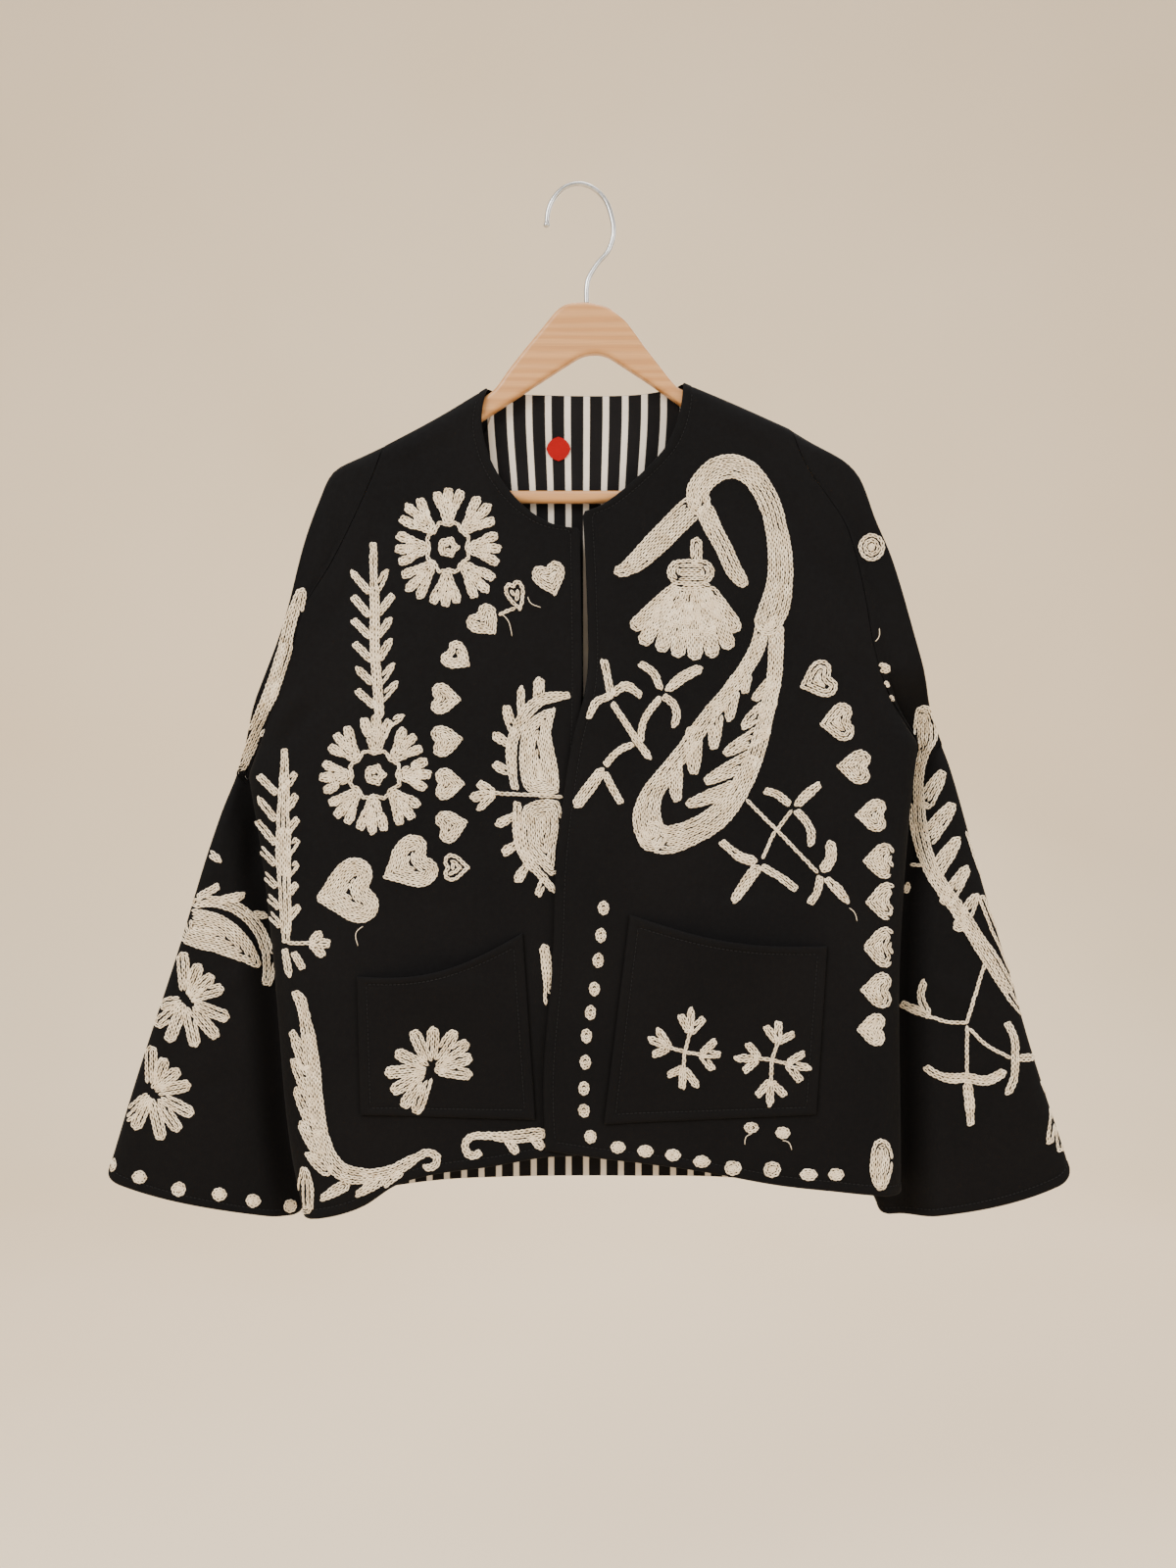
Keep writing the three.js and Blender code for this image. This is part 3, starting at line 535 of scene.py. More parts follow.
def sleeve_net(side):
    """A tube of rings from the armhole to the cuff.

    Its front wall runs down the shoulder's strip, round the underarm and behind the back panel.
    """
    sign = side["sign"]
    outer, inner, seam = edge(side["sleeve_outer"]), edge(side["sleeve_inner"]), edge(side["armhole"])
    under_x, under_z = side["armhole"][-1]
    seam_line, fold_line, side_line = (outline(side[key]) for key in ("armhole", "sleeve_outer", "side"))
    heights = outer(np.linspace(0, 1, 101))[:, 1]
    turn_share = int(np.argmax(heights < under_z)) / 100

    def lower_front(x, z):
        side_x = np.where(z > under_z, under_x, at_height(side_line, z))
        behind = at_height(BODY_DEPTH, z, 2) + SLEEVE_BEHIND + folds(BACK_FOLDS, sign * x, z)
        start, end = SLEEVE_COMES_FORWARD
        return mix(behind, SLEEVE_FRONT, smooth(side_x + start, side_x + end, x))

    def end_of(share):
        return inner(share) + (UNDERARM_SIDE * smooth(0.1, 0, share), 0)

    def front_wall(share):
        tip, end = outer(share), end_of(share)
        way = min(1, share / turn_share)
        steps = np.linspace(0, 1, 33)
        if way < 1:
            z = mix(tip[1], under_z, steps)
            drift = mix(1, way, smooth(0, SLEEVE_DRIFT * way, tip[1] - z)) if way > 0 else 0
            turned = smooth(under_z + TURN_ZONE, under_z, z)
            clear = mix(SEAM_SIDE, UNDERARM_SIDE, turned)
            x = mix(at_height(seam_line, z) + clear, at_height(fold_line, z), drift)
            panel_edge = -mix(front_depth(sign * x, z), EDGE, turned)
            y = mix(panel_edge, lower_front(x, z), turned * min(1, SLEEVE_LEAVES * way))
            first = np.stack([x, y, z], axis=-1)
        else:
            first = np.array([(tip[0], float(lower_front(tip[0], tip[1])), tip[1])])
        if share == 0:
            return first
        x = mix(first[-1, 0], end[0], steps[1:])
        z = mix(first[-1, 2], end[1], steps[1:])
        return np.concatenate([first, np.stack([x, lower_front(x, z), z], axis=-1)])

    def back_way(share):
        t = np.linspace(0, 1, 61)[:, None]
        bow = seam(t[:, 0]) - mix(seam(0), seam(1), t)
        return mix(outer(share), end_of(share), t) + bow * (1 - smooth(0, 0.2, share))

    def turned_over(share):
        """Where the back wall doubles under the arm, the layer that faces the other way."""
        ring = np.gradient(back_way(share), axis=0)
        onward = back_way(min(1, share + 0.01)) - back_way(min(1, share + 0.01) - 0.01)
        sine = ring[:, 0] * onward[:, 1] - ring[:, 1] * onward[:, 0]
        return smooth(0, -0.3, sine / np.hypot(*ring.T) / np.hypot(*onward.T))

    def back_wall(share):
        way = min(1, share / turn_share)
        x, z = back_way(share).T
        turned = smooth(under_z + TURN_ZONE, under_z, z)
        x = x - SEAM_LAP * smooth(0.03, 0, share) * smooth(z[0], z[0] - 12, z) * (1 - turned)
        panel = back_depth(sign * x, z)
        if share == 0:
            return np.stack([x, mix(panel, EDGE, turned) + LAP, z], axis=-1)
        low = lower_front(x, np.minimum(z, under_z)) + SLEEVE_DEPTH
        leaving = min(1, SLEEVE_LEAVES * way)
        fallen = np.where(z > under_z, smooth(under_z + SLEEVE_FALL, under_z, z) * leaving, 1)
        fallen_y = mix(panel + LAP, low, fallen) - DOUBLED * turned_over(share) * leaving
        return np.stack([x, fallen_y, z], axis=-1)

    def wall_side(points, fold_start, fold_end):
        whole = along(points)[-1]
        middle = np.linspace(RING_UPPER[-1], whole - RING_LOWER[0], RING_MIDDLE + 1)[1:-1]
        distances = np.concatenate([RING_UPPER, middle, whole - np.array(RING_LOWER)])
        result = sampled(points, distances)
        result[:, 1] = mix(fold_start, result[:, 1], turn(distances, RIDGE_ROUND))
        result[:, 1] = mix(fold_end, result[:, 1], turn(whole - distances, SLEEVE_DEPTH / 2))
        return result

    rings = []
    down = spread(SLEEVE_LENGTH, RING_STEP, SLEEVE_TURNED, HEMMED)
    for share in down / SLEEVE_LENGTH:
        front, back = front_wall(share), back_wall(share)
        fold_start = (front[0, 1] + back[0, 1]) / 2
        fold_end = (front[-1, 1] + back[-1, 1]) / 2
        front_side = wall_side(front, fold_start, fold_end)
        back_side = wall_side(back, fold_start, fold_end)
        ring = np.concatenate([front_side, back_side[-2:0:-1]])
        index = np.arange(len(ring))
        around = np.minimum(index, len(ring) - index) / (len(ring) / 2)
        ring[:, 2] -= side["cuff_sag"] * np.sin(np.pi * around**0.7) * smooth(0.7, 1, share)
        rings.append(ring)
    points = np.array(rings) * (sign, 1, 1)
    columns = points.shape[1]
    to_cuff = SLEEVE_LENGTH - down
    around = np.cumsum(np.linalg.norm(np.diff(points, axis=1, prepend=points[:, :1]), axis=2), axis=1)
    to_inner_fold = np.abs(around - around[:, columns // 2, None])
    faced = UNDERARM_FACING * smooth(FACING_END, FACING_END - FACING_FADE, down)[:, None]
    rim = np.minimum(np.minimum(down, to_cuff)[:, None], np.maximum(to_inner_fold - faced, 0) + 1)
    hem = np.broadcast_to(to_cuff[:, None], points.shape[:2])
    net = Net(points, rim, hem, closed=True, sign=sign)
    on_front = (np.arange(columns) <= columns // 2)[None, :]
    x, z = points[..., 0], points[..., 2]
    name = "sleeve_" + side["name"]
    index = np.arange(columns)
    to_fold = np.minimum(index, np.abs(index - columns // 2))
    to_fold = np.minimum(to_fold, columns - index)[None, :]
    depth = np.where(on_front, creases(name + "_front", x, z), creases(name + "_back", x, z))
    fading = smooth(0, 25, down)[:, None] * smooth(3, 9, to_fold)
    net.points = net.moved(depth * fading)
    return net


def pocket_net(side):
    corners, dip = POCKETS[side["name"]]["corners"], POCKETS[side["name"]]["dip"]
    upper_inner, upper_outer, lower_inner, lower_outer = (np.array(corner, float) for corner in corners)
    width = math.dist(upper_inner, upper_outer)
    height = math.dist(upper_inner, lower_inner)
    across = spread(width, COLUMN_STEP, HEMMED, HEMMED)
    down = spread(height, COLUMN_STEP, HEMMED, HEMMED)
    u, v = share_grid(down / height, [across / width] * len(down))
    ua, va = u[..., None], v[..., None]
    flat = mix(mix(upper_inner, upper_outer, ua), mix(lower_inner, lower_outer, ua), va)
    x, z = flat[..., 0], flat[..., 1] - dip * np.sin(np.pi * u) * (1 - v) ** 2
    bulge = POCKET_BULGE * np.sin(np.pi * u) * (1 - v) ** 1.6
    y = -(side_depth(side, x, z) + CLOTH + POCKET_CLEAR + bulge)
    sides = np.minimum(u, 1 - u) * width
    rim = np.minimum.reduce([sides, v * height, (1 - v) * height])
    return Net(np.stack([x, y, z], axis=-1), rim, rim, sign=-side["sign"])


# Meshes
def linked(name, data):
    """A new object in the scene."""
    thing = bpy.data.objects.new(name, data)
    bpy.context.scene.collection.objects.link(thing)
    return thing


def mesh_object(name, vertices, faces, uvs=None, slots=None, smooth_angle=50):
    """An object from vertices in millimetres and faces; edges sharper than the angle stay sharp."""
    mesh = bpy.data.meshes.new(name)
    faces = faces.tolist() if isinstance(faces, np.ndarray) else faces
    mesh.from_pydata((np.asarray(vertices) * MM).tolist(), [], faces)
    if uvs is not None:
        layer = mesh.uv_layers.new(name="cloth")
        corners = np.asarray(faces).ravel()
        layer.data.foreach_set("uv", (np.asarray(uvs)[corners] * MM).astype(np.float32).ravel())
    if slots is not None:
        mesh.polygons.foreach_set("material_index", np.asarray(slots, dtype=np.int32))
    mesh.shade_smooth()
    mesh.set_sharp_from_angle(angle=math.radians(smooth_angle))
    mesh.validate()
    mesh.update()
    return linked(name, mesh)


STRIPE_FAN = 0.1  # how much further apart the lining's stripes are at the neck
STRIPE_FAN_RISE = (-262, -170)  # heights between which they spread


def cloth_uvs(net):
    """Cloth coordinates: x and height on a flat piece, the way round and down on a tube."""
    points = net.points
    if not net.closed:
        fan = 1 + STRIPE_FAN * smooth(*STRIPE_FAN_RISE, points[..., 2])
        return np.stack([points[..., 0] / fan, points[..., 2]], axis=-1)
    around = np.linalg.norm(points - np.roll(points, 1, axis=1), axis=2)
    around[:, 0] = 0
    return np.stack([np.cumsum(around, axis=1), points[..., 2]], axis=-1)


SEAM_BINDING = 10  # inside a piece, the outer cloth is turned in this far at every edge
RIM_HALF = 0.02  # half of what is left of the thickness at the very edge
GROOVE = 0.25  # depth of the groove under a hem's topstitch
GROOVE_HALF = 0.7  # and half its width


def cells(index):
    """The four-sided faces of a grid of indices."""
    corners = index[:-1, :-1], index[:-1, 1:], index[1:, 1:], index[1:, :-1]
    return np.stack(corners, axis=-1).reshape(-1, 4)


def wall(name, net, thickness, outer, inner):
    """A closed cloth wall round a net, with rounded edges, hems, and a material for each skin."""
    half = thickness / 2 * turn(net.rim, RIM_ROUND) + RIM_HALF
    groove = GROOVE * np.exp(-((net.hem - HEM_WIDTH) / GROOVE_HALF) ** 2)
    hem = HEM_RISE * smooth(HEM_WIDTH, HEM_WIDTH - 2, net.hem) * smooth(0, 1, net.rim) - groove
    skins = [net.moved(half + hem), net.moved(-half)]
    vertices = np.concatenate([skin.reshape(-1, 3) for skin in skins])
    uvs = cloth_uvs(net).reshape(-1, 2)
    uvs = np.concatenate([uvs, uvs])
    index = net.grid()
    behind = index + net.rim.size
    front = cells(index)
    back = cells(behind)[:, [0, 3, 2, 1]]
    edges = [index[0], index[-1, ::-1]]
    if not net.closed:
        edges += [index[::-1, 0], index[:, -1]]
    runs = [np.stack([run[:-1], run[:-1] + net.rim.size, run[1:] + net.rim.size, run[1:]], axis=-1)
            for run in edges]
    rim = np.concatenate(runs)
    faces = np.concatenate([front, back, rim])
    if net.sign > 0:
        faces = faces[:, ::-1]
    lined = (net.rim[1:] + net.rim[:-1]) / 2
    if net.closed:
        lined = np.concatenate([lined, lined[:, :1]], axis=1)
    lined = (lined[:, 1:] + lined[:, :-1]) / 2 > SEAM_BINDING
    slots = np.concatenate([np.zeros(len(front)), lined.ravel(), np.zeros(len(rim))])
    piece = mesh_object(name, vertices, faces, uvs, slots)
    piece.data.materials.append(outer)
    piece.data.materials.append(inner)
    return piece


# Materials
WAVE_TURNS = 20 / (2 * math.pi)  # bands in one unit of a wave texture of scale 1


class Shader:
    """A material's nodes, with one principled shader."""

    def __init__(self, name, **constants):
        self.material = bpy.data.materials.new(name)
        self.material.use_nodes = True
        self.tree = self.material.node_tree
        self.surface = self.tree.nodes["Principled BSDF"]
        for socket, value in constants.items():
            self.surface.inputs[socket.replace("_", " ")].default_value = value

    def add(self, kind, inputs=None, **settings):
        node = self.tree.nodes.new("ShaderNode" + kind)
        for setting, value in settings.items():
            setattr(node, setting, value)
        for key, value in (inputs or {}).items():
            if isinstance(value, bpy.types.NodeSocket):
                self.tree.links.new(value, node.inputs[key])
            else:
                node.inputs[key].default_value = value
        return node

    def math(self, operation, *values):
        return self.add("Math", dict(enumerate(values)), operation=operation).outputs[0]

    def coordinates(self, source="UV", scale=(1, 1, 1), rotation=(0, 0, 0)):
        vector = self.add("TexCoord").outputs[source]
        return self.add("Mapping", {"Vector": vector, "Scale": scale, "Rotation": rotation}).outputs[0]

    def noise(self, vector, scale, detail=3, roughness=0.55):
        values = {"Vector": vector, "Scale": scale, "Detail": detail, "Roughness": roughness}
        return self.add("TexNoise", values).outputs["Fac"]

    def waves(self, vector, period, direction="X", distortion=0, profile="SIN"):
        values = {"Vector": vector, "Scale": 1 / (WAVE_TURNS * period), "Distortion": distortion}
        settings = {"bands_direction": direction, "wave_profile": profile}
        return self.add("TexWave", values, **settings).outputs["Fac"]

    def ramp(self, factor, *stops):
        """A colour for each stop: its position and its red, green and blue."""
        node = self.add("ValToRGB", {"Fac": factor})
        elements = node.color_ramp.elements
        while len(elements) < len(stops):
            elements.new(0.5)
        for element, (position, *colour) in zip(elements, stops):
            element.position = position
            element.color = (*(colour if len(colour) == 3 else colour * 3), 1)
        return node.outputs["Color"]

    def blend(self, factor, first, second, kind="MIX"):
        values = {"Fac": factor, "Color1": first, "Color2": second}
        return self.add("MixRGB", values, blend_type=kind).outputs["Color"]

    def bump(self, height, distance, strength=1.0, normal=None):
        values = {"Height": height, "Distance": distance, "Strength": strength}
        if normal is not None:
            values["Normal"] = normal
        return self.add("Bump", values).outputs["Normal"]

    def finish(self, **links):
        for socket, value in links.items():
            self.tree.links.new(value, self.surface.inputs[socket.replace("_", " ")])
        return self.material


THREAD = 0.55 * MM  # the weave's threads


def weave(shader):
    """Height of a plain weave with uneven threads, on cloth coordinates."""
    cloth = shader.coordinates()
    across = shader.waves(cloth, 2 * THREAD, "X", 0.4)
    down = shader.waves(cloth, 2 * THREAD, "Y", 0.4)
    over = shader.math("ABSOLUTE", shader.math("SUBTRACT", across, down))
    slub_across = shader.noise(shader.coordinates(scale=(60, 1400, 1)), 1)
    slub_down = shader.noise(shader.coordinates(scale=(1400, 60, 1)), 1)
    slubs = shader.math("ADD", slub_across, slub_down)
    return shader.math("ADD", over, slubs)


def black_cotton():
    shader = Shader("black_cotton", Sheen_Weight=0.015, Sheen_Roughness=0.4, Specular_IOR_Level=0.1)
    height = weave(shader)
    fade = shader.noise(shader.coordinates("Object"), 9, 4)
    fine = shader.noise(shader.coordinates("Object"), 260, 3)
    tone = shader.math("ADD", shader.math("MULTIPLY", fade, 0.7), shader.math("MULTIPLY", fine, 0.3))
    colour = shader.ramp(tone, (0.3, 0.0016, 0.0014, 0.0015), (0.7, 0.0036, 0.0030, 0.0030))
    rough = shader.ramp(fine, (0.2, 0.72), (0.8, 0.9))
    bump = shader.bump(height, 0.12 * MM, 0.6)
    return shader.finish(Base_Color=colour, Roughness=rough, Normal=bump)


STRIPE = 13.7  # from one cream stripe to the next
STRIPE_CREAM = 0.33  # share of the stripe that is cream
STRIPE_CENTRE = 32  # the middle of one cream stripe


def striped_cotton():
    shader = Shader("striped_cotton", Specular_IOR_Level=0.1)
    cloth = shader.coordinates()
    x = shader.add("SeparateXYZ", {"Vector": cloth}).outputs["X"]
    jitter = shader.noise(shader.coordinates(scale=(300, 900, 1)), 1, 2)
    shift = shader.math("MULTIPLY", shader.math("SUBTRACT", jitter, 0.5), 0.25 * MM)
    place = shader.math("DIVIDE", shader.math("ADD", x, shift), STRIPE * MM)
    from_centre = shader.math("SUBTRACT", place, STRIPE_CENTRE / STRIPE - 0.5)
    share = shader.math("FRACT", shader.math("ADD", from_centre, 100))
    offset = shader.math("ABSOLUTE", shader.math("SUBTRACT", share, 0.5))
    stripe = shader.ramp(offset, (STRIPE_CREAM / 2 - 0.015, 1), (STRIPE_CREAM / 2 + 0.015, 0))
    soft = shader.noise(shader.coordinates("Object"), 24, 4)
    cream = shader.ramp(soft, (0.3, 0.60, 0.52, 0.42), (0.7, 0.72, 0.64, 0.54))
    dark = shader.ramp(soft, (0.3, 0.004, 0.0035, 0.0035), (0.7, 0.008, 0.007, 0.007))
    height = weave(shader)
    shade = shader.ramp(height, (0.0, 0.8), (1.0, 1.0))
    colour = shader.blend(1, shader.blend(stripe, dark, cream), shade, "MULTIPLY")
    rough = shader.ramp(soft, (0.2, 0.75), (0.8, 0.9))
    return shader.finish(Base_Color=colour, Roughness=rough, Normal=shader.bump(height, 0.12 * MM, 0.6))


def red_cotton():
    shader = Shader("red_satin_stitch", Specular_IOR_Level=0.15)
    threads = shader.waves(shader.coordinates("Object"), 0.8 * MM, "Z", 1.2)
    soft = shader.noise(shader.coordinates("Object"), 120, 3)
    tone = shader.math("ADD", shader.math("MULTIPLY", threads, 0.6), shader.math("MULTIPLY", soft, 0.4))
    colour = shader.ramp(tone, (0.1, 0.22, 0.0, 0.0), (0.9, 0.42, 0.0, 0.001))
    rough = shader.ramp(soft, (0.2, 0.5), (0.8, 0.7))
    return shader.finish(Base_Color=colour, Roughness=rough, Normal=shader.bump(threads, 0.3 * MM, 0.8))


def pale_wood():
    shader = Shader("pale_wood", Coat_Weight=0.25, Coat_Roughness=0.22, Specular_IOR_Level=0.45)
    grain = shader.coordinates("Object", scale=(2.2, 30, 30))
    rings = shader.add("TexWave", {"Vector": grain, "Scale": 1.3, "Distortion": 7, "Detail": 4},
                       bands_direction="Z").outputs["Fac"]
    fibres = shader.noise(shader.coordinates("Object", scale=(28, 900, 900)), 1, 4)
    soft = shader.noise(shader.coordinates("Object"), 11, 3)
    rings_colour = shader.ramp(rings, (0.1, 0.47, 0.21, 0.065), (0.9, 0.56, 0.275, 0.10))
    fibre_shade = shader.ramp(fibres, (0.3, 0.82), (0.65, 1.0))
    colour = shader.blend(1, rings_colour, fibre_shade, "MULTIPLY")
    colour = shader.blend(shader.math("MULTIPLY", soft, 0.3), colour, (0.58, 0.28, 0.09, 1))
    rough = shader.ramp(fibres, (0.3, 0.5), (0.7, 0.36))
    return shader.finish(Base_Color=colour, Roughness=rough, Normal=shader.bump(fibres, 0.05 * MM, 0.5))


def steel_wire():
    shader = Shader("plated_wire", Metallic=1.0)
    drawn = shader.noise(shader.coordinates("Object", scale=(900, 900, 120)), 1, 3)
    stain = shader.noise(shader.coordinates("Object"), 90, 4)
    colour = shader.ramp(stain, (0.35, 0.46, 0.45, 0.43), (0.65, 0.62, 0.61, 0.59))
    rough = shader.ramp(drawn, (0.3, 0.24), (0.7, 0.4))
    return shader.finish(Base_Color=colour, Roughness=rough, Normal=shader.bump(drawn, 0.03 * MM, 0.4))


def yarn(name, low, high, sheen):
    """Soft twisted yarn; each stitch has its own tone."""
    shader = Shader(name, Sheen_Weight=sheen, Sheen_Roughness=0.5, Specular_IOR_Level=0.25)
    tone = shader.add("Attribute", attribute_name="tone").outputs["Fac"]
    fibres = shader.noise(shader.coordinates("Object"), 1500, 3)
    soft = shader.noise(shader.coordinates("Object"), 40, 3)
    mixed = shader.math("ADD", shader.math("MULTIPLY", tone, 0.5), shader.math("MULTIPLY", fibres, 0.3))
    mixed = shader.math("ADD", mixed, shader.math("MULTIPLY", soft, 0.2))
    colour = shader.ramp(mixed, (0.25, *low), (0.75, *high))
    rough = shader.ramp(fibres, (0.2, 0.78), (0.8, 0.95))
    return shader.finish(Base_Color=colour, Roughness=rough, Normal=shader.bump(fibres, 0.35 * MM, 0.7))


def plain(name, low, high, roughness):
    """A stage material with a faint unevenness."""
    shader = Shader(name, Roughness=roughness)
    soft = shader.noise(shader.coordinates("Object"), 1.5, 2)
    return shader.finish(Base_Color=shader.ramp(soft, (0.3, *low), (0.7, *high)))


BLACK = black_cotton()
STRIPED = striped_cotton()
RED = red_cotton()
WOOD = pale_wood()
STEEL = steel_wire()
CREAM_YARN = yarn("cream_yarn", (0.64, 0.50, 0.32), (0.95, 0.81, 0.60), 0.2)
BLACK_THREAD = yarn("black_thread", (0.004, 0.004, 0.004), (0.012, 0.011, 0.011), 0.0)


def cloth_piece(name, net, thickness, outer):
    """A node's cloth, with the striped lining as its inner side."""
    piece = wall(name + "_cloth", net, thickness, outer, STRIPED)
    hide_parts(name)
    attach(piece, "root")
    width, length, area = net.size()


def jacket():
    """Builds the jacket's cloth; returns the outer pieces' nets, by node."""
    nets = {"back": back_net()}
    for side in (RIGHT, LEFT):
        nets["front_" + side["name"]] = front_net(side)
        nets["sleeve_" + side["name"]] = sleeve_net(side)
        nets["pocket_" + side["name"]] = pocket_net(side)
    for name, net in nets.items():
        cloth_piece(name, net, CLOTH, BLACK)
    cloth_piece("back_lining", lining_net(), LINING, STRIPED)
    return nets


# Embroidery: chain stitches of cream yarn. Its tables give places on an upright plane, as they are
# seen from VIEWPOINT, and each stitch is laid on the cloth behind its place.
STITCH_PLANE = -20
YARN = 0.59  # radius
ROW = 3.1  # between rows of stitches
PITCH = 4.2  # between the stitches of a row
LOOP_HALF = 0.98  # half the width of a stitch's loop, between the middles of its yarn
THIN = 5.2  # a narrower ribbon is one row of stitches
JOINED = 11  # a ribbon's end wider than this runs on into its neighbour
OUTLINE_STEP = 0.7
CROWDED = 1.45  # a stitch nearer than this to an earlier one is left out
SHORTEST = 1.2  # the shortest row
SKIN_CLEAR = 0.05  # stitches are laid this far off the cloth's nominal face
STITCH_SEED = 11
STITCH_ASIDE = 0.14  # typical distance of a stitch from its row's line
LOOP_UNEVEN = 0.035  # typical unevenness of a loop's shares
TONE_UNEVEN = 0.2  # typical difference of a stitch's tone from the middle one
NO_LIMIT = 1000
RING_LEAST = 8  # stitches in a closed row
BASE_SHARE = 0.8  # a finger's width at its base
BARB_TIP = 0.5  # a barb's width at its tip

# The loop of one stitch: shares of the pitch along, of the half width across, of the yarn upwards
LOOP = np.array([
    (0.0, 0.0, 0.4), (0.3, 0.62, 0.9), (0.72, 1.0, 1.15), (1.12, 0.75, 1.05),
    (1.3, 0.0, 0.8), (1.12, -0.75, 1.05), (0.72, -1.0, 1.15), (0.3, -0.62, 0.9),
])

